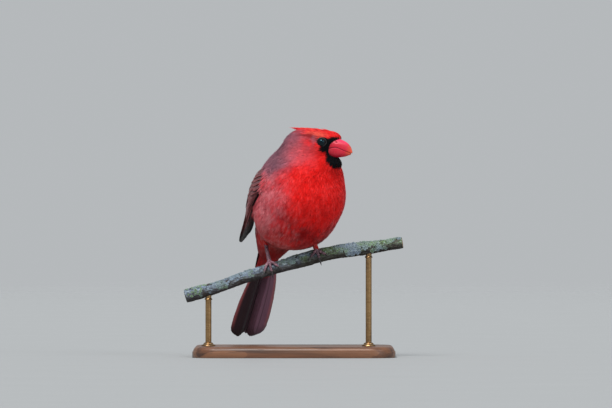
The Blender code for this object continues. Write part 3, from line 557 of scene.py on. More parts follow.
# The ruffled nape: its middle, its size and how far its feathers stand off, in mm of the bird's frame
NAPE, NAPE_SIZE, NAPE_LIFT = array((4.0, 0.0, 82.0)), array((34.0, 34.0, 27.0)), 5.6


def nape_lift(points):
    """How much further out the feathers stand at the nape."""
    away = (((points - NAPE) / NAPE_SIZE) ** 2).sum(1)
    return NAPE_LIFT * clip(1 - away, 0, 1) * interp(face_distance(points), (8, 20), (0, 1))


def follow(roots, with_wings, length, levels, sway):
    """The line of each feather over the body: its points and outward directions, from root to tip."""
    steps = len(levels)
    outward = lying_field(roots, with_wings)[1]
    line, ups, here = [roots], [outward], roots
    for k in range(1, steps):
        way = lie_at(here, outward)
        way = unit(way + cross(outward, way) * sway[:, None])
        here = here + way * (length / (steps - 1))[:, None]
        high = levels[k] + nape_lift(here) * (k / (steps - 1)) ** 0.5
        for _ in range(2):
            away, outward = lying_field(here, with_wings)
            here = here - outward * (away - high)[:, None]
        line.append(here)
        ups.append(outward)
    return stack(line, 1), stack(ups, 1)


# A tuft: a narrow closed vane whose far half frays into strands

STRAND_WIDTH, ROUND = 0.11, 0.3
TUFT_SHAPES = 6
# Sections of the vane: share along and half width. The vane's end, and where its strands leave it
TUFT_SECTIONS, TUFT_END, TUFT_SPLIT = ((0.0, 0.3), (0.28, 0.86), (0.54, 0.74), (0.68, 0.36)), 0.8, 0.78


def tuft_template(strands, seed, fray):
    """Points of a tuft (along, across, height, and how far the shading leans across) and its triangles."""
    random = np.random.default_rng(seed)
    points = []
    for t, wide in TUFT_SECTIONS:
        points += [(t, -wide, -0.1, -0.2), (t, 0.0, 0.25, 0.0), (t, wide, -0.1, 0.2), (t, 0.0, -0.35, 0.0)]
    rings = len(TUFT_SECTIONS)
    points.append((TUFT_END, 0.0, 0.0, 0.0))
    faces = [split_quads(ring_faces(rings, 4))[:, ::-1], cap((rings - 1) * 4, 4, rings * 4)[:, ::-1]]
    faces.append(array([(0, 1, 2), (0, 2, 3)]))
    for k in range(strands):
        share = (k + 0.5) / strands * 2 - 1 + random.uniform(-0.5, 0.5) / strands
        start = TUFT_SPLIT - fray * (0.45 + 0.7 * abs(share)) + random.uniform(-0.05, 0.05)
        end = 1.05 - 0.2 * abs(share) ** 2 + random.uniform(-0.16, 0.08)
        first, last = share * 0.62, share * 0.98 + random.uniform(-0.07, 0.07)
        wide = STRAND_WIDTH * random.uniform(0.8, 1.2)
        high = random.uniform(0.2, 0.7)
        tilt = share * 0.15
        a = len(points)
        points += [
            (start, first - wide, high - 0.1, tilt - ROUND), (start, first + wide, high - 0.1, tilt + ROUND),
            (start, first, high + 0.12, tilt), (end, last, high * 0.7, tilt),
        ]
        faces.append(array([(a, a + 1, a + 3), (a + 1, a + 2, a + 3), (a + 2, a, a + 3), (a, a + 2, a + 1)]))
    return array(points), concatenate(faces)


def grow_tufts(line, ups, half, thick, shape):
    """Puts a template's points along each line, (tufts, points, 3), with the normals to shade them by."""
    steps = line.shape[1]
    at = clip(shape[:, 0], 0, 1.15) * (steps - 1)
    low = clip(at.astype(int), 0, steps - 2)
    part = (at - low)[None, :, None]
    way = np.diff(line, axis=1)
    side = unit(cross(ups, unit(concatenate([way, way[:, -1:]], 1))))
    middle, across, upward = (v[:, low] * (1 - part) + v[:, low + 1] * part for v in (line, side, ups))
    bend = shape[:, 1] ** 2 * 0.07
    aside = across * (half[:, None] * shape[:, 1])[..., None]
    rise = upward * (thick[:, None] * shape[:, 2] - half[:, None] * bend)[..., None]
    return middle + aside + rise, unit(upward + across * shape[:, 3][None, :, None])


class Coat:
    """Gathers tufts that become one piece."""

    def __init__(self, name, strands=10, fray=0.5):
        self.name = name
        self.templates = [tuft_template(strands, 7 * k + strands, fray) for k in range(TUFT_SHAPES)]
        self.parts = []

    def add(self, line, ups, half, thick, places, random):
        kinds = random.integers(0, TUFT_SHAPES, len(line))
        tint = random.random(len(line))
        for kind, template in enumerate(self.templates):
            pick = kinds == kind
            if pick.any():
                grown = grow_tufts(line[pick], ups[pick], half[pick], thick[pick], template[0])
                self.parts.append((*grown, template, places[pick], tint[pick], line[pick, 0]))

    def piece(self, frame_matrix, material):
        points, outward, faces, unwrap, count = [], [], [], [], 0
        values = {"root": [], "along": [], "across": [], "tint": []}
        turn = array(frame_matrix.to_3x3())
        for grown, normals, (shape, triangles), places, tint, root in self.parts:
            tufts, size = grown.shape[:2]
            points.append(placed(grown.reshape(-1, 3), frame_matrix))
            outward.append(unit(normals.reshape(-1, 3) @ turn.T))
            faces.append((triangles[None] + (arange(tufts) * size)[:, None, None] + count).reshape(-1, 3))
            patch = stack([shape[:, 1] / 2, clip(shape[:, 0], 0, 1.1) - 0.5], 1) * TUFT_PATCH
            unwrap.append((places[:, None] + patch).reshape(-1, 2))
            values["root"].append(repeat(placed(root, frame_matrix), size, axis=0))
            values["along"].append(np.tile(shape[:, 0], tufts))
            values["across"].append(np.tile(shape[:, 1], tufts))
            values["tint"].append(repeat(tint, size))
            count += tufts * size
        values = {key: concatenate(parts) for key, parts in values.items()}
        points, faces, outward = concatenate(points), concatenate(faces), concatenate(outward)
        unwrap = clip(concatenate(unwrap), 0.001, 0.999)
        made = mesh_piece(self.name, points, faces, material, unwrap, values, normals=outward)
        return stands_for(made, "plumage")


# The coat's feathers by distance from the face: spacing, length, half width, thickness, and the tip's height
COAT_STEPS = (4.0, 11.0, 24.0, 40.0)
COAT_SPACING = (0.62, 0.78, 1.0, 1.22)
COAT_LENGTH = (2.0, 4.6, 7.6, 10.2)
COAT_HALF = (0.4, 0.74, 1.15, 1.5)
COAT_THICK = (0.12, 0.17, 0.22, 0.25)
COAT_TIP = (0.12, 0.3, 0.5, 0.7)
COAT_RISE = (0.0, 0.4, 0.66, 0.84, 1.0)  # how a feather's line rises from its root to its tip


def coat_value(points, table):
    return interp(face_distance(points), COAT_STEPS, table)


def inside_bill(local, upper, gap=0.3):
    """Which points of the head's frame lie within one half of the bill."""
    table = linspace(BILL_FROM, BILL_TO, 40)
    crest, split, wide = (
        interp(clip(local[:, 0], BILL_FROM, BILL_TO), table, [height_at(profile, a) for a in table])
        for profile in (CULMEN if upper else KEEL, MOUTH, BILL_WIDTH)
    )
    rise = (local[:, 2] - split) / (crest - split)
    aside = np.abs(local[:, 1]) / (wide - gap)
    return (local[:, 0] > BILL_BARE) & (rise > -0.1) & (np.hypot(aside, clip(rise, 0, 9)) < 1.0)


def coat_roots(points, faces, unwrap, apart):
    """Roots all over the skin, without those in the eyes, in the bill, and under the wings."""
    roots, places, random = scatter(points, faces, unwrap, lambda p: apart * coat_value(p, COAT_SPACING), 11)
    local = placed(roots, BIRD_IN_HEAD)
    keep = ~inside_bill(local, True) & ~inside_bill(local, False)
    for side in (1, -1):
        skin, outward = (array(v) for v in eye_axis(side))
        away = local - skin
        height = away @ outward
        ring = norm(away - height[:, None] * outward, axis=1)
        keep &= ~((ring < EYE_SHOWN + 0.15) & (np.abs(height) < 6))
    height, beside, _, _ = over_wing(roots)
    edge = norm(beside, axis=1) < 1.2
    keep &= ~(edge & (height < 2) & (height > -9))
    keep &= placed(roots, TAIL_IN_BIRD.inverted())[:, 0] < 4
    free = ~(edge & (height <= -9))
    return roots[keep], places[keep], free[keep], random


def region_of(roots):
    """The part of the body that each root lies on."""
    local = placed(roots, BIRD_IN_HEAD)
    head = norm(local - LIE_HEAD, axis=1)
    forward, _, up = roots.T
    back = (up - 62) * 0.7 - (forward + 2) * 0.8 > 0
    names = np.full(len(roots), "breast", dtype="<U12")
    names[up < 44 + 0.1 * forward] = "belly"
    names[up < 24 + 0.1 * forward] = "underside"
    names[back] = "back"
    names[(forward < -17) & ~back] = "vent"
    names[head < 33] = "neck"
    names[head < 21.5] = "crown"
    names[(head < 21.5) & (local[:, 0] > 0.5)] = "face"
    return names


def make_coat(points, faces, unwrap, material, sizes):
    """The body's feathers, in one piece for each part of the body."""
    roots, places, free, random = coat_roots(points, faces, unwrap, sizes.spacing)
    count = len(roots)
    length = sizes.length * coat_value(roots, COAT_LENGTH) * random.uniform(0.86, 1.14, count)
    half = coat_value(roots, COAT_HALF) * random.uniform(0.85, 1.12, count)
    thick = coat_value(roots, COAT_THICK)
    short = clip(length / COAT_LENGTH[3], 0.28, 1)
    belly = ease(52, 30, roots[:, 2]) * ease(-24, -8, roots[:, 0])
    length = length * (1 + 0.18 * belly)
    base = -skin_depth(roots)
    top = coat_value(roots, COAT_TIP) + random.uniform(-0.1, 0.1, count) * short + 0.35 * belly
    levels = [base + (top - base) * rise for rise in COAT_RISE]
    sway = random.uniform(-0.13, 0.13, count)
    line, ups = follow(roots, (roots[:, 0] < 22) & free, length, levels, sway)
    names = region_of(roots)
    for name in np.unique(names):
        pick = names == name
        coat = Coat(f"coat_{name}", sizes.strands, 0.42)
        coat.add(line[pick], ups[pick], half[pick], thick[pick], places[pick], random)
        coat.piece(BIRD, material)


THIGH_ROWS, THIGH_ROUND = 9, 15
THIGH_GIRTH = ((0, 9, 15), (2.7, 1.4, 1.35))  # the thigh's radius, by distance down


def make_thigh_coat(material, sizes):
    """The short loose feathers that hang down each thigh, over the top of the bare shank."""
    random = np.random.default_rng(31)
    coat = Coat("coat_thighs", sizes.strands, 0.42)
    for side, x, turn in FEET:
        hub, _, start = (array(IN_BIRD @ point) for point in leg_line(x, turn))
        down = unit(hub - start)
        front = unit(cross(down, (0.0, 1.0, 0.0)))
        grid = np.meshgrid(linspace(0, 1, THIGH_ROWS), linspace(0, 2 * pi, THIGH_ROUND), indexing="ij")
        row, angle = (values.ravel() for values in grid)
        angle = angle + random.uniform(-0.2, 0.2, row.size)
        count = len(row)
        first = 10.0 * row - 1 + random.uniform(-0.4, 0.4, count)
        length = random.uniform(4.2, 5.8, count)
        out = wheel(angle, front, cross(down, front))
        line = []
        for k, rise in enumerate(COAT_RISE):
            reach = first + length * k / (len(COAT_RISE) - 1)
            radius = interp(reach, *THIGH_GIRTH) + 0.8 * rise
            line.append(start + down * reach[:, None] + out * radius[:, None])
        ups = repeat(out[:, None], len(COAT_RISE), axis=1)
        spot = THIGH_SPOTS[side]
        places = stack([spot[0] + 0.0015 * angle, spot[1] + 0.0008 * first], 1)
        coat.add(stack(line, 1), ups, np.full(count, 0.85), np.full(count, 0.14), places, random)
    return coat.piece(BIRD, material)


# Eyes, lids and bill


def eye_axis(side):
    """The head's surface point at an eye, and the outward direction there, in the head's frame."""
    ahead, up = EYE_PLACE
    centre = HEAD_IN_BIRD @ Vector((ahead, 0, up))
    aside = HEAD_IN_BIRD.to_3x3() @ Vector((0, side, 0))
    skin = surface_along(array([centre]), array([aside]))[0]
    return BIRD_IN_HEAD @ Vector(skin), Vector((0.5, side, 0.22)).normalized()


def eye_frame(side):
    """The skin's point at an eye and the outward, across and upward directions, in the head's frame."""
    skin, outward = eye_axis(side)
    across = outward.cross(Vector((0, 0, 1))).normalized()
    return skin, array(outward), array(across), array(across.cross(outward))


EYE_SIDES, EYE_RINGS, EYE_BULGE = 56, 41, 0.035


def make_eye(side, material):
    """A glossy eyeball with a slight bulge at its front. The front values tell the iris from the pupil."""
    skin, outward, across, upward = eye_frame(side)
    centre = array(skin - eye_axis(side)[1] * sqrt(EYE_RADIUS**2 - EYE_SHOWN**2))
    lifts = linspace(0, pi, EYE_RINGS)[1:-1]
    bulge = 1 + EYE_BULGE * np.exp(-((lifts / 0.5) ** 2))
    spokes = wheel(circle(EYE_SIDES), across, upward)
    rings = []
    for lift, size in zip(lifts, bulge):
        rings.append(centre + EYE_RADIUS * size * (cos(lift) * outward + sin(lift) * spokes))
    front, behind = centre + EYE_RADIUS * (1 + EYE_BULGE) * outward, centre - EYE_RADIUS * outward
    shown = repeat(where(lifts > pi / 2, 1.0, np.sin(lifts)), EYE_SIDES)
    shape = Shapes()
    shape.add(*closed_rings(rings, (front, behind)), front=np.append(shown, (0.0, 1.0)))
    name = "eye_left" if side > 0 else "eye_right"
    return shape.piece(name, HEAD, material, "eye_gloss", name)


LID_GIRTH, LID_ROUND, LID_BAR = 0.21, 72, 14


def make_lids(material):
    """The bare upper and lower lids: soft folded rims round each eye, the upper one heavier."""
    shape = Shapes()
    around, bar = LID_ROUND, LID_BAR
    for side in (1, -1):
        skin, outward, across, upward = eye_frame(side)
        points = []
        for turn in circle(around):
            spoke = across * cos(turn) + upward * sin(turn)
            top = max(sin(turn), 0)
            girth = LID_GIRTH * (1 + 0.45 * top) * (1 + 0.08 * sin(turn * 23) + 0.05 * sin(turn * 41 + 1))
            reach = EYE_SHOWN + 0.34 - 0.28 * top + 0.3 * abs(cos(turn)) ** 12
            for tilt in circle(bar):
                fold = 1 + 0.12 * cos(3 * tilt)
                out = girth * (cos(tilt) * spoke * 1.25 + sin(tilt) * outward * 0.95) * fold
                points.append(array(skin) + spoke * reach + out + outward * (-0.15 + 0.22 * top))
        first = arange(bar)
        last, after = (around - 1) * bar, (first + 1) % bar
        closing = stack([last + first, last + after, after, first], 1)
        shape.add(points, split_quads(concatenate([ring_faces(around, bar), closing])))
    return shape.piece("eye_lids", HEAD, material, "plumage", "head")


def make_bill(upper, material, rings=56, arc=41):
    """The upper or lower bill: horn with growth lines, a sharp edge, and a nostril pit on each side."""
    last, profile = (BILL_TO, CULMEN) if upper else (LOWER_TO, KEEL)
    sign = 1 if upper else -1
    made = []
    shares = np.sin(pi / 2 * linspace(0, 1, rings)) ** 1.15
    turns = linspace(0, pi, arc)
    for share in shares:
        ahead = BILL_FROM + (last - BILL_FROM) * share
        split = height_at(MOUTH, ahead) + sign * GAP / 2
        deep = max(abs(height_at(profile, ahead) - split), 0.3)
        wide = max(height_at(BILL_WIDTH, ahead) - (0 if upper else 0.25), 0.35)
        aside = wide * np.sign(np.cos(turns)) * np.abs(np.cos(turns)) ** 0.85
        rise = np.sin(turns) ** 0.85
        ridge = 0.16 * np.exp(-((turns - pi / 2) ** 2) / 0.03) * sin(pi * share) * (1 if upper else 0.4)
        lines = 0.035 * np.sin(ahead * 5.2 + 0.8 * np.cos(2 * turns)) * np.sin(turns)
        high = split + sign * deep * rise * (1 + (ridge + lines) / deep)
        made.append(stack([np.full(arc, ahead), aside * (1 + lines / wide), high], 1))
    points = concatenate(made)
    pit = np.zeros(len(points))
    for side in (1, -1) if upper else ():
        away = (points - array((NOSTRIL[0], side * NOSTRIL[1], NOSTRIL[2]))) / array((1.0, 3.0, 0.5))
        near = np.exp(-((away**2).sum(1)))
        points[:, 1] -= side * 0.7 * near
        pit = np.maximum(pit, near)
    points, faces = closed_rings(points.reshape(rings, arc, 3))
    along = np.append(repeat(shares, arc), (0.0, 1.0))
    shape = Shapes()
    shape.add(points, faces if upper else faces[:, ::-1], along=along, pit=np.append(pit, (0.0, 0.0)))
    name = "bill_upper" if upper else "bill_lower"
    return shape.piece(name, HEAD, material, "bill_horn", name)


def crown_heights(x, y):
    """The height of the skull's upper side, in the head's frame."""
    starts = placed(stack([x, y, np.full_like(x, -3.0)], 1), HEAD_IN_BIRD)
    up = np.tile(array(HEAD_IN_BIRD.to_3x3() @ Vector((0, 0, 1))), (len(starts), 1))
    return placed(surface_along(starts, up), BIRD_IN_HEAD)[:, 2]


# The crest's rows: distance forward of the roots, count, spread and length. Then its upper profile
CREST_GROWTH = (
    (13.0, 7, 4.4, 11.0), (9.0, 9, 5.6, 14.0), (4.5, 11, 6.6, 17.0),
    (0.0, 12, 7.0, 20.0), (-5.0, 12, 6.8, 21.0), (-9.5, 11, 6.0, 18.0),
)
CREST_TOP = ((-29, -24, -18, -10, 0, 8, 14, 18), (7.3, 7.9, 8.8, 9.8, 10.4, 10.6, 10.0, 7.6))
CREST_END = -17.5


def make_crest(material):
    """The laid crest: long narrow feathers from forehead and crown, drawn together to a point behind."""
    random = np.random.default_rng(31)
    rows = []
    for ahead, count, spread, length in CREST_GROWTH:
        for c in range(count):
            aside = ((c + 0.5) / count * 2 - 1) * spread + random.uniform(-0.3, 0.3)
            place = (ahead + random.uniform(-0.8, 0.8), aside)
            rows.append((*place, length * random.uniform(0.9, 1.1), random.random()))
    start, aside, length, stray = array(rows).T
    line, ups = [], []
    for share in arange(7) / 6:
        x = start - length * share
        y = aside * (1 - 0.72 * share**1.6) + 0.25 * np.sin(stray * 40) * share
        skull = crown_heights(np.maximum(x, CREST_END), y) - 0.35 * np.maximum(CREST_END - x, 0)
        top = interp(x, *CREST_TOP) - y**2 / 24
        z = np.maximum(skull + 0.35, skull * (1 - share) + top * share) - 1.5 * (1 - share) ** 2
        line.append(stack([x, y, z + 0.6 * (stray - 0.5) * share], 1))
        ups.append(unit(stack([np.zeros_like(y), y / 11, np.ones_like(y)], 1)))
    coat = Coat("crest")
    spot = stack([0.5 + aside * 0.01, 0.86 - 0.004 * start], 1)
    half, thick = 1.25 * (0.8 + 0.4 * stray), np.full(len(rows), 0.4)
    coat.add(stack(line, 1), stack(ups, 1), half, thick, spot, random)
    return coat.piece(HEAD, material)


# Long feathers. Outlines are shares along and shares of the full width

FLIGHT_OUTLINE = (
    (0, 0.12, 0.3, 0.55, 0.76, 0.87, 0.94, 0.98, 1),
    (0.45, 0.74, 0.95, 1.0, 0.97, 0.87, 0.7, 0.46, 0.14),
)
COVERT_OUTLINE = ((0, 0.2, 0.45, 0.68, 0.82, 0.91, 0.97, 1), (0.5, 0.86, 1.0, 0.98, 0.84, 0.62, 0.34, 0.1))
TAIL_OUTLINE = (
    (0, 0.15, 0.3, 0.5, 0.7, 0.86, 0.93, 0.97, 0.99, 1),
    (0.4, 0.56, 0.74, 0.93, 1.0, 0.97, 0.84, 0.6, 0.36, 0.12),
)
VANE_COLUMNS = array((-1, -0.66, -0.33, -0.06, 0.06, 0.33, 0.66, 1))


def vane_shape(line, ups, widths, camber, thick, rag, random):
    """A long feather's points and triangles, and each point's share along, and across from -1 to 1.

    widths gives the half width on the low and the high side at each station. rag frays both edges.
    """
    steps, v, cols = len(line), VANE_COLUMNS, len(VANE_COLUMNS)
    side = unit(cross(ups, unit(np.gradient(line, axis=0))))
    shares = linspace(0, 1, steps)
    notch = 1 - rag * random.random((steps, 2)) * ease(0.1, 0.4, shares)[:, None]
    left, right = (widths * notch).T
    reach = where(v[None] < 0, v[None] * left[:, None], v[None] * right[:, None])
    wide = np.maximum(left, right)[:, None]
    droop = -camber * (reach / np.maximum(wide, 0.1)) ** 2 * wide
    ridge = 0.14 * (np.abs(v) < 0.1) * (1 - 0.8 * shares[:, None])
    body = thick * (1 - 0.7 * np.abs(v)[None]) * (1 - 0.45 * shares[:, None])
    flat = line[:, None] + side[:, None] * reach[..., None]
    levels = (droop + body / 2 + ridge, droop - body / 2)
    tops, floor = (flat + ups[:, None] * high[..., None] for high in levels)
    ring = concatenate([tops, floor[:, cols - 2 : 0 : -1]], 1)
    sides = ring.shape[1]
    fan = array([(0, k, k + 1) for k in range(1, sides - 1)])
    faces = concatenate([split_quads(ring_faces(steps, sides)), fan[:, ::-1], fan + (steps - 1) * sides])
    across = np.tile(concatenate([v, v[cols - 2 : 0 : -1]]), steps)
    return ring.reshape(-1, 3), faces, repeat(shares, sides), across


class Feathers(Shapes):
    """Long feathers of one piece, each with its own strip of the unwrap."""

    def __init__(self, seed):
        super().__init__()
        self.random = np.random.default_rng(seed)
        self.strips = []

    def vane(self, line, ups, tilt, outline, full, lean, camber, thick, rag, kind, shade):
        """One feather. tilt rolls it about its shaft, and lean moves the shaft towards its low side."""
        across = unit(cross(ups, unit(np.gradient(line, axis=0))))
        ups = unit(ups + across * tilt[:, None])
        width = interp(linspace(0, 1, len(line)), *outline) * full
        widths = stack([width * (0.5 - lean), width * (0.5 + lean)], 1)
        points, faces, along, across = vane_shape(line, ups, widths, camber, thick, rag, self.random)
        self.strips.append((full, along, across))
        root = line[len(line) // 2]
        self.add(points, faces, None, root=root, along=along, across=across, kind=kind, tint=shade)

    def finish(self, name, material, node):
        """Shares the unwrap out among the feathers by their widths, and makes the piece."""
        total = sum(full for full, _, _ in self.strips)
        left, self.uv = 0.002, []
        for full, along, across in self.strips:
            wide = 0.996 * full / total
            self.uv.append(stack([left + wide * (0.5 + 0.46 * across), 0.01 + 0.98 * along], 1))
            left += wide
        return self.piece(name, BIRD, material, "flight_feathers", node)


# Rows of a folded wing: count, roots (s, w) of the lowest and the uppermost feather, their tips, heights
# along them, widths, how far the shaft lies off the middle, camber, and kind (0 flight, 1 covert)
WING_GROWTH = {
    "primary": (9, (0.34, 0.04), (0.32, 0.26), (0.91, 0.06), (0.95, 0.86),
        (0.6, 0.9, 1.0), (8.4, 7.2), -0.12, 0.10, 0),
    "secondary": (7, (0.30, 0.30), (0.28, 0.62), (0.93, 0.72), (0.74, 0.92),
        (0.8, 1.3, 1.3), (6, 6.8), -0.16, 0.12, 0),
    "tertial": (3, (0.24, 0.66), (0.2, 0.90), (0.72, 0.82), (0.56, 0.94),
        (1.3, 2.2, 2.0), (7.6, 8.6), -0.08, 0.12, 0),
    "primary_covert": (7, (0.22, 0.03), (0.21, 0.24), (0.58, 0.04), (0.53, 0.26),
        (1.2, 2.2, 2.4), (4, 4.4), -0.12, 0.14, 1),
    "great_covert": (9, (0.18, 0.24), (0.14, 0.94), (0.55, 0.32), (0.46, 0.95),
        (1.4, 2.8, 3.0), (5.4, 6.2), -0.08, 0.14, 1),
    "middle_covert": (9, (0.10, 0.10), (0.07, 0.94), (0.355, 0.17), (0.32, 0.95),
        (1.8, 3.4, 3.7), (5, 5.6), 0.0, 0.16, 1),
    "lesser_low": (9, (0.05, 0.06), (0.03, 0.94), (0.25, 0.12), (0.22, 0.95),
        (2.0, 3.9, 4.2), (4.4, 4.8), 0.0, 0.16, 1),
    "lesser_high": (9, (0.0, 0.10), (-0.01, 0.92), (0.16, 0.12), (0.14, 0.94),
        (2.0, 4.2, 4.6), (4.2, 4.6), 0.0, 0.18, 1),
    "alula": (3, (0.13, 0.03), (0.12, 0.08), (0.44, 0.035), (0.36, 0.10),
        (1.6, 3.2, 3.6), (3.4, 3.8), -0.14, 0.12, 1),
}
WING_SEAT = 6.5  # how deep the wing's flesh reaches under its surface
PLATE_ROWS, PLATE_COLS = 16, 12


def wing_plate(side):
    """Points and triangles of the wing's flesh, and their places s and w on it."""
    rows, cols = PLATE_ROWS, PLATE_COLS
    s, w = np.meshgrid(linspace(0.01, 0.5, rows), linspace(0.03, 0.95, cols), indexing="ij")
    edge = 1 - np.abs(2 * w - 1) ** 6 * 0.4
    top, _ = wing_points(s, w, interp(s, (0, 0.14, 0.3, 0.5), (2.0, 2.6, 1.9, 1.0)) * edge, side)
    low, _ = wing_points(s, w, -WING_SEAT * np.sin(pi * clip(w, 0.06, 0.94)) ** 0.4, side)
    quads = ring_faces(rows, cols, closed=False)
    size = rows * cols
    number = arange(size).reshape(rows, cols)
    rim = concatenate([number[0], number[1:, -1], number[-1, -2::-1], number[-2:0:-1, 0]])
    walls = stack([rim, np.roll(rim, -1), np.roll(rim, -1) + size, rim + size], 1)
    faces = split_quads(concatenate([quads[:, ::-1], quads + size, walls]))
    flat = concatenate([top.reshape(-1, 3), low.reshape(-1, 3)])
    return flat, faces[:, ::-1] if side > 0 else faces, np.tile(s.ravel(), 2), np.tile(w.ravel(), 2)


def make_wing(side, finish):
    """A folded wing: its flesh and the rows of feathers that grow out of it, each over the one below."""
    feathers = Feathers(5 if side > 0 else 6)
    flat, faces, s, w = wing_plate(side)
    feathers.strips.append((20.0, s, w * 2 - 1))
    feathers.add(flat, faces, None, root=flat, along=s * 0.6, across=0.0, kind=1.0, tint=0.5)
    for row, (count, *ends, heights, widths, lean, camber, kind) in WING_GROWTH.items():
        steps = 16 if kind else 26
        t = linspace(0, 1, steps)
        tilt, shade = 0.13 + 0.07 * (1 - kind) * np.ones(steps), 0.7
        if row == "primary":
            tilt, shade = interp(t, (0.0, 0.5, 1.0), (0.2, 0.3, 0.8)), 0.2
        bow = 0.02 * np.sin(pi * t) * (row in ("primary", "secondary"))
        for k in range(count):
            share = k / max(count - 1, 1)
            stray = feathers.random.uniform(-1, 1, 6)
            root, tip = (
                [a + (b - a) * share for a, b in zip(low, high)] for low, high in (ends[:2], ends[2:])
            )
            if row == "primary":
                tip[0] += 0.05 * sin(pi * share)
            tip[0] += 0.006 * kind * stray[0] + 0.004 * stray[1]
            tip[1] += 0.006 * stray[2]
            step = 0.16 * (k % 2) if kind else 0.0
            lift = [h + 0.12 * stray[3] + step + 0.05 * k * (kind == 0) for h in heights]
            line, ups = wing_points(
                root[0] + (tip[0] - root[0]) * t,
                root[1] + (tip[1] - root[1]) * t + bow,
                interp(t, linspace(0, 1, len(lift)), lift),
                side,
            )
            full = (widths[0] + (widths[1] - widths[0]) * share) * 1.12
            outline, thick, rag = (COVERT_OUTLINE, 0.3, 0.1) if kind else (FLIGHT_OUTLINE, 0.34, 0.05)
            tint = shade + 0.2 * stray[5]
            feathers.vane(line, ups, tilt * side, outline, full, lean * side, camber, thick, rag, kind, tint)
    name = "wing_left" if side > 0 else "wing_right"
    return feathers.finish(name + "_feathers", finish, name)


def make_tail(finish):
    """The tail's twelve long feathers, nested in pairs under the middle one."""
    feathers = Feathers(9)
    steps = 40
    up = np.tile(array(TAIL_IN_BIRD.to_3x3() @ Vector((0, 0, 1))), (steps, 1))
    for pair in range(TAIL_PAIRS):
        for side in (1, -1):
            outer = TAIL_WIDTH / 2 * (0.46 + 0.54 * pair / (TAIL_PAIRS - 1))
            inner = -2.0 if pair == 0 else 0.5 + 0.35 * pair
            middle, width = side * (outer + inner) / 2, outer - inner
            level = TAIL_STEP * (0.5 - pair) + (TAIL_STEP / 2 if pair == 0 and side > 0 else 0)
            length = TAIL_LENGTH - 0.5 * abs(pair - 2) ** 1.6 - 0.1
            rows = (
                (TAIL_CORE * 0.3, middle * 0.42, level * 0.8 + 0.8),
                (TAIL_CORE * 1.5, middle * 0.86, level + 0.6),
                (length * 0.75, middle, level),
                (length, middle * 0.98, level - 0.4),
            )
            line = array([along_curve(rows, t) for t in linspace(0, len(rows) - 1, steps)])
            line = placed(line, TAIL_IN_BIRD)
            lean, tilt = -0.02 * side - 0.03 * side * pair, np.full(steps, 0.05 * side)
            # The tint follows the side: the tail's right half is painted dusky and darker, painted shade on
            # the half turned from the light.
            shade = 0.5 + side * (0.3 + 0.035 * pair)
            feathers.vane(line, up, tilt, TAIL_OUTLINE, width, lean, 0.035, 0.42, 0.035, 0, shade)
    return feathers.finish("tail_feathers", finish, "tail")


# Rows of soft feathers over and under the tail: face, rows, spread of their roots, reach and depth. Then the
# half thickness and half width of the tail's flesh by distance along
TAIL_ROWS = ((-1, 9, 16.0, 36.0, 3.9), (1, 8, 13.0, 31.0, 3.0))
TAIL_FLESH = ((-3, 4, 12, 20, 30, 38), (7.6, 6.9, 5.0, 3.6, 2.4, 1.9), (9.4, 9.0, 8.6, 8.0, 6.4, 4.6))


def make_tail_coverts(material):
    """The soft feathers over and under the tail's root."""
    random = np.random.default_rng(17)
    coat = Coat("tail_coverts")
    turn = array(TAIL_IN_BIRD.to_3x3()).T
    count = 11
    for face, rows, spread, reach, deep in TAIL_ROWS:
        for row in range(rows):
            c = (arange(count) + 0.5 * (row % 2)) / (count - 0.5) * 2 - 1
            start = -3.0 + row * spread / (rows - 1) + random.uniform(-0.8, 0.8, count)
            length = np.minimum(13.0 + random.uniform(-1, 1, count), reach - start - 7 * np.abs(c) ** 2)
            tilt = unit(stack([np.zeros(count), c * 0.8, face * np.ones(count)], 1)) @ turn
            line = []
            for share in arange(6) / 5:
                along = start + length * share
                body, wide = (interp(along, TAIL_FLESH[0], table) for table in TAIL_FLESH[1:])
                out = (share - 0.25) * 1.1 - 0.5
                dorsal = face * ((body * deep / 3.6 + out) * np.sqrt(np.maximum(1 - 0.82 * c**2, 0))) - 0.6
                line.append(placed(stack([along, c * (wide + 0.3 * out), dorsal], 1), TAIL_IN_BIRD))
            spot = stack([0.5 + 0.5 * (face < 0) + c * 0.1, np.full(count, 0.04)], 1) % 0.98 + 0.005
            half = 1.9 * random.uniform(0.9, 1.1, count)
            coat.add(stack(line, 1), stack([tilt] * 6, 1), half, np.full(count, 0.36), spot, random)
    return coat.piece(BIRD, material)


# Legs, feet and claws


def perch_line(x):
    """The perch's centre at an X of the scene, in mm above the grip."""
    xs = [p[0] for p in PERCH_LINE]
    t = float(interp(x, xs, range(len(xs))))
    mean_step = (xs[-1] - xs[0]) / len(xs)
    for _ in range(8):
        t += (x - along_curve(PERCH_LINE, t)[0]) / (1.3 * mean_step)
    return along_curve(PERCH_LINE, t)


def perch_girth(x):
    """The perch's radius at an X of the scene: a slow swell and smaller knots."""
    return PERCH_RADIUS + 0.5 * sin(x / 21 + 0.6) + 0.25 * sin(x / 7)


def perch_frame(x):
    """The perch's centre at an X of the scene and the directions along, towards the viewer and up, there."""
    centre = Vector(perch_line(x)) + Vector((0, 0, GRIP_HEIGHT))
    along = (Vector(perch_line(x + 1)) - Vector(perch_line(x - 1))).normalized()
    front = along.cross(Vector((0, 0, 1))).normalized()
    return centre, along, front, front.cross(along)


def over_perch(x, turn, clearance):
    """A scene point beside the perch: turn goes round it from the top towards the viewer."""
    centre, _, front, top = perch_frame(x)
    return centre + (perch_girth(x) + clearance) * (top * cos(turn) + front * sin(turn))


def leg_line(x, turn):
    """The middle of the foot, and the points where the shank leaves the thigh and where the thigh starts."""
    hub = over_perch(x, radians(turn), FOOT_HUB + GAP)
    low = IN_BIRD @ hub
    heel = Vector((low.x - 10, low.y * 0.9, low.z + 17))
    out = (low - heel).normalized()
    leave = surface_along(array([heel]), array([out]))[0]
    ankle = Vector(leave) + out * 0.8
    back = IN_BIRD.inverted()
    return hub, back @ ankle, back @ (ankle - out * 9)


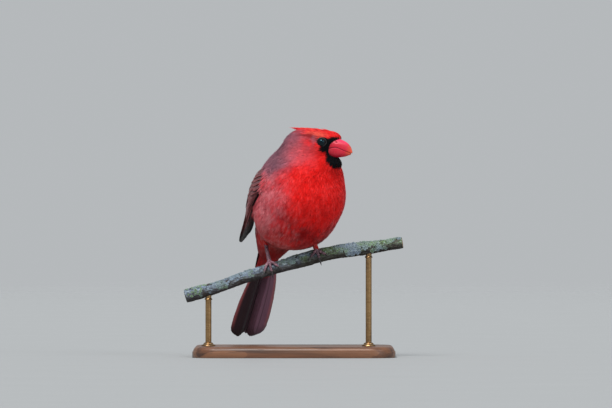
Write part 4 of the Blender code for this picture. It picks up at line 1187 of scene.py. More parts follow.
def scutes(count, deep):
    """A swell function of overlapping scales along a toe or shank: broad ones in front, fine ones behind."""

    def swell(share, turns):
        front = 0.5 + 0.5 * np.cos(turns + pi / 2)
        fine = 0.25 * np.sin(share * count * 2.7 * pi + 5 * turns) * (1 - front)
        return 1 + deep * ((0.5 - (share * count) % 1.0) * front + fine)

    return swell


SHANK_STEPS, SHANK_SIDES, KNOB_RINGS = 56, 28, 17
SHANK_GIRTH = ((0, 0.3, 0.7, 1), (1.35, 1.14, 1.16, 1.35))


def make_leg(side, x, turn, finish):
    """The bare shank with its row of scutes, and the foot's toes round the perch, in one piece."""
    shape = Shapes()
    hub, ankle, _ = leg_line(x, turn)
    first = ankle - (hub - ankle).normalized() * 1.2
    shares = linspace(0, 1, SHANK_STEPS)
    wide = interp(shares, *SHANK_GIRTH) * SHANK_RADIUS
    shape.add(*tube_shape([first.lerp(hub, t) for t in shares], wide, SHANK_SIDES, scutes(9, 0.16)))
    turns = circle(SHANK_SIDES)
    spokes = stack([np.cos(turns), np.sin(turns), np.zeros(SHANK_SIDES)], 1)
    knob = []
    for lift in linspace(0.12, pi - 0.12, KNOB_RINGS):
        bumps = 1 + 0.05 * np.sin(5 * turns + 4 * lift)
        knob.append(array(hub) + FOOT_HUB * (spokes * sin(lift) * bumps[:, None] + array((0, 0, cos(lift)))))
    points, faces = closed_rings(knob)
    shape.add(points, faces[:, ::-1])
    ends = {}
    for toe, drift, reach in TOES:
        ends[toe], radii = toe_line(side, x, turn, toe, drift, reach, 44)
        shape.add(*tube_shape(ends[toe], radii, 22, scutes(8 if toe == "inner" else 10, 0.2)))
    shape.piece(f"leg_and_foot_{side}", SCENE, finish, "leg_scales", f"leg_{side}", f"foot_{side}")
    return ends


def toe_line(side, x, start_turn, toe, drift, reach, steps):
    """A toe's line round the perch, with pads between its joints, and its radii."""
    inward = -1 if side == "left" else 1
    joints = 3 if toe != "hind" else 2
    line, radii = [], []
    for i in range(steps):
        share = i / (steps - 1)
        turn = radians(start_turn + (reach - start_turn) * share)
        lift = TOE_RADIUS + GAP * 1.2 + (FOOT_HUB - TOE_RADIUS) * (1 - share) ** 3
        line.append(over_perch(x + inward * drift * share**0.8, turn, lift))
        pad = 0.09 * cos(2 * pi * joints * share) - 0.04
        radii.append(TOE_RADIUS * (1.15 - 0.3 * share + pad) * (0.72 if i == steps - 1 else 1))
    return line, radii


CLAW_STEPS, CLAW_SIDES = 26, 18
CLAW_GIRTH = ((0, 0.25, 0.5, 0.75, 1), (0.82, 0.74, 0.56, 0.36, 0.1))


def claw_groove(_, turns):
    """The claws' swell: flatter sides."""
    return 1 - 0.1 * np.cos(2 * turns)


def make_claws(side, ends, finish):
    """The four claws of a foot, curved and grooved, growing out of the toes' ends."""
    shape = Shapes()
    shares = linspace(0, 1, CLAW_STEPS)
    for (toe, _, reach), line in zip(TOES, ends.values()):
        end = line[-1]
        heading = (end - line[-4]).normalized()
        away = (end - over_perch(end.x, radians(reach), -3)).normalized()
        path = []
        for share in shares:
            bend = away * CLAW_BEND * sin(pi * share * 0.62)
            path.append(end + heading * (GAP * 0.2 - 0.5 + (CLAW_LENGTH + 0.5) * share) + bend)
        claw = tube_shape(path, interp(shares, *CLAW_GIRTH), CLAW_SIDES, claw_groove)
        shape.add(*claw, along=np.append(repeat(shares, CLAW_SIDES), (0.0, 1.0)))
    nodes = (f"claw_{side}_{toe}" for toe, _, _ in TOES)
    return shape.piece(f"claws_{side}", SCENE, finish, "claw_horn", *nodes)


# The perch and its lichen


def bark_relief(x, turn):
    """How far the bark stands out at a place along the perch and round it."""
    across, deep = cos(turn), sin(turn)
    ridges = noise.fractal(Vector((x * 0.07, across * 3.4, deep * 3.4)), 0.9, 2.1, 4)
    plates = noise.fractal(Vector((x * 0.33, across * 2.1 + 7, deep * 2.1)), 0.7, 2.0, 3)
    pits = noise.noise(Vector((x * 1.1, across * 6, deep * 6 + 3)))
    return 0.30 * ridges + 0.22 * plates + 0.07 * pits


PERCH_RINGS, PERCH_SIDES = 440, 72
KNOTS = ((-52.0, 5.6, 1.2, 3.4), (74.0, 0.8, 1.0, 3.0))  # X, turn, height and length of each
CUT_RINGS = (0.93, 0.8, 0.62, 0.42, 0.2)  # the sawn ends' rings, as shares of their rim


def knot_height(x, turn):
    """How far the knots stand out at a place along the perch and round it."""
    return sum(
        high * np.exp(-(((x - at) / long) ** 2) - (((turn - round_ + pi) % (2 * pi) - pi) / 0.55) ** 2)
        for at, round_, high, long in KNOTS
    )


def make_perch(finish, cut_finish):
    """The cut length of branch: rough bark, two knots, and sawn ends with their rings."""
    sides = PERCH_SIDES
    xs = linspace(PERCH_LINE[0][0], PERCH_LINE[-1][0], PERCH_RINGS)
    points = []
    for x in xs:
        centre, _, front, top = (array(v) for v in perch_frame(float(x)))
        soft = min(min(abs(x - xs[0]), abs(x - xs[-1])) / 1.2, 1.0)
        for turn in circle(sides):
            relief = bark_relief(x, turn) + knot_height(x, turn)
            reach = perch_girth(x) + 0.1 + relief * soft - 0.25 * (1 - soft)
            points.append(centre + reach * (cos(turn) * top + sin(turn) * front))
    rings, radial = [array(points)], [np.ones(len(points))]
    bark_faces = split_quads(ring_faces(PERCH_RINGS, sides))
    cuts, hubs, count = [], [], len(points)
    for first, way in ((0, -1), (count - sides, 1)):
        rim = rings[0][first : first + sides]
        middle, previous = rim.mean(0), first + arange(sides)
        for k, share in enumerate(CUT_RINGS):
            ring = middle + (rim - middle) * share
            ring[:, 0] += 0.06 * np.sin(7 * circle(sides) + k) - way * 0.12 * (k % 2)
            here = count + arange(sides)
            quads = stack([previous, np.roll(previous, -1), np.roll(here, -1), here], 1)
            cuts.append(split_quads(quads if way > 0 else quads[:, ::-1]))
            rings.append(ring)
            radial.append(np.full(sides, share))
            previous, count = here, count + sides
        hubs.append((previous[0], way, middle))
    cuts += [cap(first, sides, count + k, way < 0) for k, (first, way, _) in enumerate(hubs)]
    points = concatenate([*rings, [middle for _, _, middle in hubs]])
    values = {"radial": concatenate([*radial, (0.0, 0.0)])}
    faces = concatenate([bark_faces, *cuts])
    slots = arange(len(faces)) >= len(bark_faces)
    points, both = placed(points, SCENE), [finish, cut_finish]
    made = mesh_piece("stand_branch", points, faces, both, values=values, slots=slots)
    return stands_for(made, "bark", "stand_perch")


# Patches of lichen: X along the perch, turn round it from the top towards the viewer, spread along and
# round, number of lobes, and their size
LICHEN_PATCHES = (
    (-80, 0.2, 7, 1.1, 60, 1.3), (-62, 0.9, 7, 1.0, 60, 1.2), (-46, -0.1, 8, 1.0, 70, 1.4),
    (-36, 0.9, 3, 0.8, 20, 1.0), (-2, 0.5, 6, 0.9, 44, 1.3), (4, -1.2, 6, 0.8, 30, 1.3),
    (38, 0.3, 5, 1.0, 50, 1.6), (49, 0.6, 7, 1.2, 110, 2.0), (60, -0.2, 7, 1.2, 80, 2.0),
    (71, 1.0, 6, 1.0, 50, 1.5), (81, -0.2, 6, 1.1, 54, 1.5),
)
FEET_CLEAR = ((-33, -9), (11, 32))
LICHEN_TURNS = (-1.9, 2.1)
# A lobe's levels: share of its radius, share of its rims' rise, thickness, and the mark for its rim
LOBE = (
    (0.45, 0.25, 0, 0.3), (0.8, 0.5, 0, 0.6), (1.0, 1.0, 0, 1.0), (1.02, 1.0, 0.16, 1.0),
    (0.5, 0.0, 0.5, 0.0),
)
LOBE_SIDES = 16


def make_lichen(finish, amount):
    """Leafy lichen: thin lobes with raised, wavy rims that overlap in patches on the bark."""
    random = np.random.default_rng(23)
    shape = Shapes()
    turns = circle(LOBE_SIDES)
    edge = np.append(repeat([level[3] for level in LOBE], LOBE_SIDES), (0.0, 0.0))
    for at, where_, long, round_, lobes, size in LICHEN_PATCHES:
        for _ in range(int(lobes * amount)):
            x = float(clip(at + random.normal(0, long * 0.5), -88, 88))
            turn = float(clip(where_ + random.normal(0, round_ * 0.7), *LICHEN_TURNS))
            if any(low < x < high for low, high in FEET_CLEAR) and turn > LICHEN_TURNS[0]:
                continue
            centre, along, front, top = (array(v) for v in perch_frame(x))
            girth = perch_girth(x) + 0.1 + bark_relief(x, turn)
            out = cos(turn) * top + sin(turn) * front
            aside = cross(out, along)
            radius = size * random.uniform(0.5, 1.15)
            wave = 1 + 0.2 * np.sin(turns * random.integers(3, 6) + random.uniform(0, 6))
            wave = wave + random.normal(0, 0.06, LOBE_SIDES)
            lift = random.uniform(0.25, 0.7) * radius
            lift = lift * (0.35 + 0.3 * np.sin(turns * 3 + random.uniform(0, 6)))
            heading = random.uniform(0, 2 * pi)
            middle = centre + girth * out + 0.5 * radius * (cos(heading) * along + sin(heading) * aside)
            spokes = wheel(turns, along, aside)
            sag = (radius * wave) ** 2 / (2.4 * girth)
            levels = []
            for share, rise, thick, _ in LOBE:
                high = 0.16 + lift * rise - sag * share**2 * 0.8 - thick
                levels.append(middle + spokes * (radius * wave * share)[:, None] + high[:, None] * out)
            points, faces = closed_rings(levels, (middle + 0.2 * out, middle - 0.5 * out))
            shape.add(points, faces, edge=edge, tint=random.random())
    return shape.piece("stand_lichen", SCENE, finish, "bark")


# The display stand

# The plinth's profile: distance in from its outline, and height, with a rounded upper edge in the middle
PLINTH_FOOT = [(0.9, 0.0), (0.25, 0.18), (0.0, 0.7), (0.0, 4.6), (0.08, 4.9), (0.35, 5.05), (0.62, 5.1)]
PLINTH_EDGE = [(0.75 + 3.6 * (1 - cos(turn)), 5.2 + 3.8 * sin(turn)) for turn in linspace(0, 1, 12) * pi / 2]
PLINTH_TOP = [(6.0, BASE_SIZE[2]), (12.0, BASE_SIZE[2]), (21.0, BASE_SIZE[2])]
CORNER_STEPS = 15


def turned_piece(name, rings, finish, sharp, slot, node):
    """A closed piece of the stand, smooth but for its sharp edges."""
    points, faces = closed_rings(rings)
    made = mesh_piece(name, placed(points, SCENE), faces, finish)
    made.data.set_sharp_from_angle(angle=radians(sharp))
    return stands_for(made, slot, node)


def make_base(finish):
    """A wooden plinth with rounded corners and a moulded upper edge."""
    wide, deep, _ = BASE_SIZE
    outline = []
    for quarter, (sx, sy) in enumerate(((1, 1), (-1, 1), (-1, -1), (1, -1))):
        for share in linspace(0, 1, CORNER_STEPS):
            turn = (quarter + share) * pi / 2
            corner = (sx * (wide / 2 - BASE_CORNER), sy * (deep / 2 - BASE_CORNER))
            outline.append((*corner, cos(turn), sin(turn)))
    outline = array(outline)
    rings = []
    for inset, level in PLINTH_FOOT + PLINTH_EDGE + PLINTH_TOP:
        ring = outline[:, :2] + (BASE_CORNER - inset) * outline[:, 2:] + (0, GRIP_BEFORE)
        rings.append(concatenate([ring, np.full((len(ring), 1), level)], 1))
    return turned_piece("stand_plinth", rings, finish, 38, "base_wood", "stand_base")


# The rods' collars: height over the plinth or under the rod's head, and radius
FOOT_COLLAR = [(-ROD_SUNK, ROD_RADIUS), (0.02, ROD_RADIUS), (0.02, 5.6), (0.5, 5.9), (1.1, 5.6), (1.5, 4.7)]
FOOT_COLLAR += [(1.9, 4.1), (2.5, 3.9), (3.0, 3.1), (3.2, ROD_RADIUS)]
HEAD_COLLAR = [(-3.0, 3.0), (-2.5, 3.3), (-1.9, 3.0), (-1.6, ROD_RADIUS), (0, ROD_RADIUS)]
HEAD_COLLAR += [(ROD_SUNK, ROD_RADIUS)]


def make_rods(finish):
    """Two bronze rods, each with a turned collar on the plinth and a fine one under the perch."""
    turns = circle(56)
    for node, x in ROD_PLACES:
        centre = perch_frame(x)[0]
        foot, head = BASE_SIZE[2], centre.z - perch_girth(x)
        rise = [(foot + z, r) for z, r in FOOT_COLLAR]
        rise += [(z, ROD_RADIUS) for z in linspace(foot + 3.6, head - 3.2, 10)]
        rise += [(head + z, r) for z, r in HEAD_COLLAR]
        flat, middle = stack([np.cos(turns), np.sin(turns), np.zeros(56)], 1), array((x, centre.y, 0))
        rings = [middle + r * flat + (0, 0, z) for z, r in rise]
        turned_piece(node + "_turned", rings, finish, 35, "rod_metal", node)


# Materials


def is_vector(value):
    """Whether a node has to work on all three numbers of a value."""
    return isinstance(value, tuple) or isinstance(value, Value) and value.socket.type == "VECTOR"


class Value:
    """An output of a node. Sums on it lay out the nodes that work them out."""

    def __init__(self, tree, socket):
        self.tree, self.socket = tree, socket

    def work(self, operation, *values):
        made = self.tree.vector if any(map(is_vector, values)) else self.tree.math
        return made(operation, *values)

    def __add__(self, other):
        return self.work("ADD", self, other)

    def __sub__(self, other):
        return self.work("SUBTRACT", self, other)

    def __rsub__(self, other):
        return self.work("SUBTRACT", other, self)

    def __mul__(self, other):
        return self.work("MULTIPLY", self, other)

    def __truediv__(self, other):
        return self.work("DIVIDE", self, other)

    def step(self, low, high, to_low=0.0, to_high=1.0):
        """A smooth step from one value to another, as this one goes from low to high."""
        values = {"Value": self, "From Min": low, "From Max": high, "To Min": to_low, "To Max": to_high}
        return self.tree.add("MapRange", values, interpolation_type="SMOOTHSTEP")

    def mix(self, first, last):
        """A colour between two, with this as the share of the last."""
        return self.tree.mix(self, first, last)


class Tree:
    """Lays out the nodes of one material or group."""

    def __init__(self, tree):
        self.tree = tree

    def node(self, kind, values=None, **settings):
        node = self.tree.nodes.new("ShaderNode" + kind)
        for key, value in settings.items():
            setattr(node, key, value)
        for key, value in (values or {}).items():
            self.feed(node.inputs[key], value)
        return node

    def add(self, kind, values=None, output=0, **settings):
        """A node's output, with its inputs fed."""
        return Value(self, self.node(kind, values, **settings).outputs[output])

    def feed(self, socket, value):
        if isinstance(value, Value):
            self.tree.links.new(value.socket, socket)
        elif socket.type == "RGBA" and len(value) == 3:
            socket.default_value = (*value, 1.0)
        else:
            socket.default_value = value

    def math(self, operation, *values):
        return self.add("Math", dict(enumerate(values)), operation=operation)

    def vector(self, operation, *values):
        output = "Value" if operation == "LENGTH" else "Vector"
        return self.add("VectorMath", dict(enumerate(values)), output, operation=operation)

    def mix(self, share, first, last, blend="MIX"):
        values = {"Factor": share, 6: first, 7: last}
        return self.add("Mix", values, 2, data_type="RGBA", blend_type=blend)

    def lit(self, colour, light):
        """A colour made lighter or darker by a value."""
        shade = self.add("CombineColor", {"Red": light, "Green": light, "Blue": light})
        return self.mix(1.0, colour, shade, "MULTIPLY")

    def noise(self, vector, scale, detail=3.0, rough=0.5, output="Fac"):
        values = {"Vector": vector, "Scale": scale, "Detail": detail, "Roughness": rough}
        return self.add("TexNoise", values, output)

    def values_of(self, *names):
        return [self.add("Attribute", None, "Fac", attribute_name=name) for name in names]

    def place(self):
        return self.add("TexCoord", None, "Object")

    def stretched(self, vector, scale):
        return self.add("Mapping", {"Vector": vector, "Scale": scale})

    def into_frame(self, vector, location, turn, scale=1.0):
        values = {"Vector": vector, "Location": location, "Rotation": turn, "Scale": (scale,) * 3}
        return self.add("Mapping", values, vector_type="TEXTURE")

    def bird_frame(self, place, scale):
        turn = (0, 0, radians(BODY_TURN - 90))
        return self.into_frame(place, (0, -GRIP_BEFORE * MM, GRIP_HEIGHT * MM), turn, scale)

    def upward(self):
        """How far the surface faces up."""
        return self.add("SeparateXYZ", {"Vector": self.add("NewGeometry", None, "Normal")}, "Z")

    def spot(self, x, y, z):
        return self.add("CombineXYZ", {"X": x, "Y": y, "Z": z})

    def ramp(self, share, stops):
        node = self.node("ValToRGB", {"Fac": share})
        band = node.color_ramp
        while len(band.elements) < len(stops):
            band.elements.new(0.5)
        for element, (at, colour) in zip(band.elements, stops):
            element.position = at
            element.color = (*colour, 1.0)
        return Value(self, node.outputs[0])

    def bump(self, height, strength, distance):
        return self.add("Bump", {"Height": height, "Strength": strength, "Distance": distance})

    def group(self, name, **values):
        """The outputs of a node group, placed with its own values."""
        node = self.tree.nodes.new("ShaderNodeGroup")
        node.node_tree = bpy.data.node_groups[name]
        for key, value in values.items():
            self.feed(node.inputs[key], value)
        return [Value(self, socket) for socket in node.outputs]


class Finish(Tree):
    """A new material and its nodes."""

    def __init__(self, name):
        self.material = bpy.data.materials.new(name)
        self.material.use_nodes = True
        super().__init__(self.material.node_tree)

    def done(self, **sockets):
        """Feeds the shader's sockets, named with underscores, and gives the material."""
        for key, value in sockets.items():
            self.feed(self.tree.nodes["Principled BSDF"].inputs[key.replace("_", " ")], value)
        return self.material


class Group(Tree):
    """A new node group. Inputs are given with their defaults, and outputs with their kinds."""

    def __init__(self, name, inputs, outputs):
        super().__init__(bpy.data.node_groups.new(name, "ShaderNodeTree"))
        for label, default in inputs.items():
            vector = isinstance(default, tuple)
            kind = "NodeSocketVector" if vector else "NodeSocketFloat"
            socket = self.tree.interface.new_socket(label, in_out="INPUT", socket_type=kind)
            socket.default_value = default
        for label, kind in outputs.items():
            self.tree.interface.new_socket(label, in_out="OUTPUT", socket_type="NodeSocket" + kind)
        self.given = [Value(self, socket) for socket in self.tree.nodes.new("NodeGroupInput").outputs[:-1]]
        self.out = self.tree.nodes.new("NodeGroupOutput")

    def done(self, **values):
        for key, value in values.items():
            self.feed(self.out.inputs[key], value)


NOWHERE = (0.0, 0.0, 0.0)


def both_sides(marks):
    """Marks given for the left side, with their mirror images."""
    return tuple(marks) + tuple((key, (x, -y, z), *rest) for key, (x, y, z), *rest in marks if y)


# Colour, centre, radii, softness and strength, in the bird's frame and in the head's
BODY_BLOBS = both_sides((
    ("bright", (40, 2, 62), (24, 30, 26), 0.5, 0.9),
    ("rose", (14, 30, 58), (20, 14, 20), 0.6, 0.9),
    ("nape", (8, 20, 79), (22, 15, 11), 0.45, 0.9),
    ("nape", (-2, 0, 84), (20, 26, 18), 0.4, 0.9),
    ("back", (-16, 0, 68), (31, 31, 44), 0.35, 0.95),
    ("back", (-34, 0, 30), (18, 20, 22), 0.4, 0.9),
    ("back", (-46, 0, 17), (18, 16, 13), 0.5, 0.7),
    ("flank", (2, 34, 44), (26, 15, 26), 0.6, 0.9),
    ("belly", (-4, 24, 16), (26, 22, 20), 0.6, 0.8),
    ("belly", (8, 0, 6), (24, 24, 9), 0.5, 0.8),
    ("vent", (-30, 0, 4), (18, 16, 16), 0.4, 0.9),
))
HEAD_BLOBS = both_sides((
    ("rose", (-6, 13, -11), (12, 8, 11), 0.6, 0.5),
    ("nape", (-20, 0, -9), (19, 26, 25), 0.4, 0.95),
    ("crown", (4, 0, 9), (20, 11, 6), 0.5, 0.9),
    ("brow", (5, 9.5, 6.0), (7.5, 4.5, 2.4), 0.6, 0.85),
    ("streak", (-1, 13, 3.4), (8, 5, 1.6), 0.5, 0.7),
    ("nape", (3.4, 11.5, 0), (2.0, 4.0, 4.0), 0.6, 0.6),
))
BLACK_BLOBS = both_sides((
    ("black", (15.0, 0, -4.5), (4.6, 11.5, 9.5), 0.12),
    ("black", (16.5, 0, -12.6), (9.6, 8.6, 5.5), 0.12),
    ("black", (16.0, 0, 2.4), (6.0, 9.0, 2.8), 0.15),
    ("black", (11.0, 9.0, 0.4), (5.4, 7.0, 3.6), 0.15),
    ("black", (11.6, 9.0, -4.2), (3.0, 7.0, 3.2), 0.2),
))
PALE_BLOBS = both_sides((("frost", (2, 26, 34), (32, 26, 38), 0.5),))


def blob(tree, place, centre, radii, soft):
    """A soft-edged mask of an ellipsoid."""
    return tree.vector("LENGTH", (place - centre) / radii).step(1 - soft, 1 + soft, 1.0, 0.0)


def markings_group(colours):
    """The markings over the whole skin, by place: black face, red body, mauve back, pale belly."""
    outputs = {"Colour": "Color", "Black": "Float", "Pale": "Float"}
    tree = Group("cardinal_markings", {"Place": NOWHERE}, outputs)
    bird = tree.bird_frame(tree.given[0], MM)
    wander = tree.noise(bird, 0.22, 3.0, 0.6, "Color") - (0.5, 0.5, 0.5)
    loose = bird + wander * (7.0, 7.0, 7.0)
    firm = bird + wander * (2.4, 2.4, 2.4)
    turn = (0, radians(HEAD_DROP), radians(HEAD_TURN))
    head, face = (tree.into_frame(place, HEAD_CENTRE, turn) for place in (loose, firm))
    colour = tree.noise(bird, 0.09, 5.0, 0.65).step(0.4, 0.6).mix(colours.deep, colours.red)
    patchy = tree.noise(bird, 0.2, 4.0, 0.65)
    worn, even = patchy.step(0.4, 0.6, 0.45, 1.0), patchy.step(0.3, 0.7, 0.82, 1.0)
    for key, centre, radii, soft, strength in BODY_BLOBS:
        wear = even if key in ("back", "nape") else worn
        mask = blob(tree, loose, centre, radii, soft) * strength * wear
        colour = mask.mix(colour, getattr(colours, key))
    for key, centre, radii, soft, strength in HEAD_BLOBS:
        colour = (blob(tree, head, centre, radii, soft) * strength).mix(colour, getattr(colours, key))
    black = None
    for _, centre, radii, soft in BLACK_BLOBS:
        mask = blob(tree, face, centre, radii, soft)
        black = tree.math("MAXIMUM", black, mask) if black else mask
    pale = tree.math("MAXIMUM", *(blob(tree, loose, *mark) for _, *mark in PALE_BLOBS)) * 0.85 + 0.15
    frost = tree.noise(bird, 0.2, 6.0, 0.72).step(0.42, 0.62)
    tree.done(Colour=black.mix(colour, colours.black), Black=black, Pale=pale * (frost * (1.0 - black)))


def barbs_group():
    """Fine barbs that run obliquely out from a feather's shaft: a brightness and a height."""
    inputs = {"Along": 0.0, "Across": 0.0, "Tint": 0.0, "Count": 40.0, "Slant": 0.35}
    tree = Group("feather_barbs", inputs, {"Light": "Float", "Height": "Float", "Shaft": "Float"})
    along, across, tint, count, slant = tree.given
    aside = tree.math("ABSOLUTE", across)
    run = along - aside * slant
    grain = tree.noise(tree.spot(run * count, across * 1.2, tint * 37.0), 1.0, 2.0, 0.6)
    wave = tree.math("SINE", run * (count * 6.283))
    shaft = aside.step(0.03, 0.09, 1.0, 0.0)
    tree.done(Light=grain.step(0.25, 0.75), Height=wave * 0.25 + grain, Shaft=shaft)


def grain_group():
    """Fine grain of horn, skin, wood or metal, drawn out along one direction: a brightness and a height."""
    inputs = {"Place": NOWHERE, "Stretch": (1.0, 1.0, 1.0), "Scale": 100.0}
    tree = Group("drawn_grain", inputs, {"Light": "Float", "Height": "Float"})
    place, stretch, scale = tree.given
    spot = place * stretch
    fine, broad = tree.noise(spot, scale, 5.0, 0.6), tree.noise(spot, scale * 0.17, 2.0)
    tree.done(Light=(fine * 0.6 + broad * 0.4).step(0.3, 0.7), Height=fine)


def plumage_material(name, colours, from_root):
    """Soft contour feathers, or the bare skin under them, with the same markings. The skin is a little
    darker and the feathers darker towards their roots: painted shade.
    """
    tree = Finish(name)
    place = tree.add("Attribute", None, "Vector", attribute_name="root") if from_root else tree.place()
    colour, _, frosted = tree.group("cardinal_markings", Place=place)
    if from_root:
        along, across, tint = tree.values_of("along", "across", "tint")
        barbs = tree.group("feather_barbs", Along=along, Across=across, Tint=tint, Count=9.0, Slant=0.5)
        strands = tree.noise(tree.spot(across * 4.2, along * 0.8, tint * 53.0), 1.6, 2.0, 0.6)
        light = strands.step(0.3, 0.7) * 0.2 + 0.9
        # Darker towards each feather's root: painted shade where it lies under the feathers above. The tint
        # varies the brightness at random.
        light = light * (tint * 0.14 + 0.93) * along.step(0.1, 0.8, 0.9, 1.02)
        pale = frosted * along.step(0.3, 0.95, 0.0, 0.62) * tint.step(0.1, 0.9, 0.5, 1.0)
        colour = tree.lit(pale.mix(colour, colours.frost), light)
        normal = tree.bump(strands + barbs[1] * 0.3, 0.2, 0.00018)
    else:
        _, height = tree.group("drawn_grain", Place=place, Scale=900.0)
        # Painted shade: the bare skin, seen only in the gaps between the feathers, is painted a tenth
        # darker.
        colour = tree.mix(1.0, colour, (0.9, 0.9, 0.9), "MULTIPLY")
        normal = tree.bump(height, 0.4, 0.0003)
    return tree.done(
        Base_Color=colour, Normal=normal, Roughness=0.78, Specular_IOR_Level=0.1,
        Sheen_Weight=0.03, Sheen_Roughness=0.5,
    )


def flight_material(name, colours, web, edge, covert, dusk, outer_edge):
    """Long stiff feathers: dusky inner webs, redder edges, dark tips and shafts, and fine barbs. On the
    tail, the dusky colour and the darker tint lie on one half as painted shade.
    """
    tree = Finish(name)
    along, across, tint, kind = tree.values_of("along", "across", "tint", "kind")
    barbs = {"Along": along, "Across": across, "Tint": tint, "Count": 70.0, "Slant": 0.22}
    light, height, shaft = tree.group("feather_barbs", **barbs)
    aside = tree.math("ABSOLUTE", across)
    away = across * tint.step(0.45, 0.55, 1.0, -1.0) if outer_edge else aside
    rim = away.step(0.5, 0.92) * along.step(0.98, 0.7) * 0.9
    # On the tail the tint marks the side, so the dusky colour covers its right half as painted shade.
    colour = rim.mix(tint.mix(dusk, web), edge)
    soft = (aside.step(0.4, 1.0) * 0.5).mix(along.step(0.3, 1.0).mix(web, covert), edge)
    colour = kind.mix(colour, soft)
    dusky = 0.5 if outer_edge else tint.step(0.4, 0.5, 0.95, 0.3)
    ends = (0.8, 1.0) if outer_edge else (0.6, 0.86)
    colour = (along.step(*ends) * (1.0 - kind) * dusky).mix(colour, colours.tip)
    colour = (shaft * 0.7).mix(colour, colours.shaft)
    # The tint also sets the brightness: on the tail, the darker right half is painted shade.
    colour = tree.lit(colour, (light * 0.3 + 0.85) * (tint * 0.2 + 0.9))
    return tree.done(
        Base_Color=colour, Normal=tree.bump(height, 0.45, 0.0003), Roughness=0.56,
        Specular_IOR_Level=0.3, Sheen_Weight=0.08,
    )


def bill_material(colours):
    """Coral horn, darker at its base and orange at its tip, with fine growth lines, a painted pink highlight
    where its ridge faces up, and painted shade in the nostril pits.
    """
    tree = Finish("bill_horn")
    along, pit = tree.values_of("along", "pit")
    place = tree.place()
    bird = tree.bird_frame(place, 1.0)
    light, height = tree.group("drawn_grain", Place=bird, Stretch=(0.25, 1.0, 1.0), Scale=1400.0)
    stops = ((0.0, colours.bill_base), (0.35, colours.bill), (0.75, colours.bill), (1.0, colours.bill_tip))
    colour = (light * 0.12).mix(tree.ramp(along, stops), tree.mix(0.4, colours.bill, (1.0, 0.5, 0.5)))
    # Painted highlight: pink where the bill's ridge faces up, standing in for light falling on it.
    culmen_highlight = tree.upward().step(0.15, 0.85) * along.step(0.1, 0.3) * along.step(0.9, 0.7) * 0.6
    colour = culmen_highlight.mix(colour, colours.bill_highlight)
    # Painted shade: the nostril pits, hollows in the mesh, are painted near black.
    colour = pit.step(0.3, 0.8, 0.0, 0.9).mix(colour, (0.02, 0.005, 0.006))
    stain = tree.noise(place, 260.0, 4.0, 0.6).step(0.55, 0.75) * 0.3
    return tree.done(
        Base_Color=stain.mix(colour, colours.bill_base), Roughness=light.step(0.0, 1.0, 0.34, 0.48),
        Normal=tree.bump(height, 0.25, 0.0002), Specular_IOR_Level=0.2, Coat_Weight=0.05, Coat_Roughness=0.2,
    )


def eye_material(colours):
    """A dark wet eye: black pupil in a deep brown iris, with its reflections tinted teal as a painted sky
    reflection.
    """
    tree = Finish("eye_gloss")
    (front,) = tree.values_of("front")
    threads = tree.noise(tree.place(), 2600.0, 3.0, 0.7)
    iris = threads.mix(colours.iris, (0.006, 0.003, 0.003))
    colour = front.step(0.40, 0.46).mix((0.002, 0.002, 0.003), iris)
    colour = front.step(0.68, 0.8).mix(colour, (0.004, 0.003, 0.004))
    return tree.done(
        Base_Color=colour, Roughness=threads.step(0.2, 0.8, 0.05, 0.09), Specular_IOR_Level=0.55,
        # Painted reflection: a teal tint on the eye's reflections stands in for a reflected blue sky.
        Specular_Tint=(0.3, 0.8, 1.0, 1.0), IOR=1.38,
    )


def skin_material(name, colour, crease, scale, rough):
    """Bare skin of lids, legs and claws: fine grain, and dark lines in the creases between its scales as
    painted shade.
    """
    tree = Finish(name)
    place = tree.place()
    light, height = tree.group("drawn_grain", Place=place, Scale=scale)
    values = {"Vector": place, "Scale": scale * 1.2}
    lines = tree.add("TexVoronoi", values, "Distance", feature="DISTANCE_TO_EDGE").step(0.0, 0.12)
    return tree.done(
        # Painted shade: the crease colour fills the grooves between the scales that the bump sinks. It also
        # darkens the grain at random.
        Base_Color=(1.0 - lines).mix(light.mix(crease, colour), crease),
        Roughness=light.step(0.0, 1.0, rough + 0.1, rough - 0.06),
        Normal=tree.bump(lines * 0.5 + height, 0.4, 0.0002),
    )


def bark_material(colours):
    """Rough bark with crusts of pale and green lichen on its upper side, darker in its furrows, and painted
    shade on its underside.
    """
    tree = Finish("bark")
    place, up = tree.place(), tree.upward()
    long = tree.stretched(place, (0.35, 1.0, 1.0))
    ridges, plates = tree.noise(long, 420.0, 6.0, 0.65), tree.noise(long, 150.0, 4.0, 0.6)
    crust = tree.noise(place, 150.0, 7.0, 0.7).step(0.4, 0.5)
    drift = tree.noise(place, 70.0, 4.0, 0.6) + tree.add("SeparateXYZ", {"Vector": place}, "X") * 4.0
    fine = tree.noise(place, 650.0, 4.0, 0.7)
    spots = drift.step(0.42, 0.62).mix(colours.lichen, colours.lichen_green)
    spots = fine.step(0.5, 0.66).mix(spots, colours.lichen_pale)
    spots = fine.step(0.46, 0.36).mix(spots, colours.lichen_deep)
    colour = ridges.step(0.3, 0.7).mix(colours.bark_dark_and_shade, colours.bark)
    colour = (crust * (up.step(-0.35, 0.55) * 0.8 + 0.15)).mix(colour, spots)
    # Painted shade: where the bark faces down, it is painted darker.
    colour = (up.step(-0.1, -0.8) * 0.6).mix(colour, colours.bark_dark_and_shade)
    return tree.done(
        Base_Color=colour, Roughness=ridges.step(0.2, 0.8, 0.78, 0.95), Specular_IOR_Level=0.25,
        Normal=tree.bump(plates * 0.8 + (ridges + crust * 0.5), 0.8, 0.0009),
    )


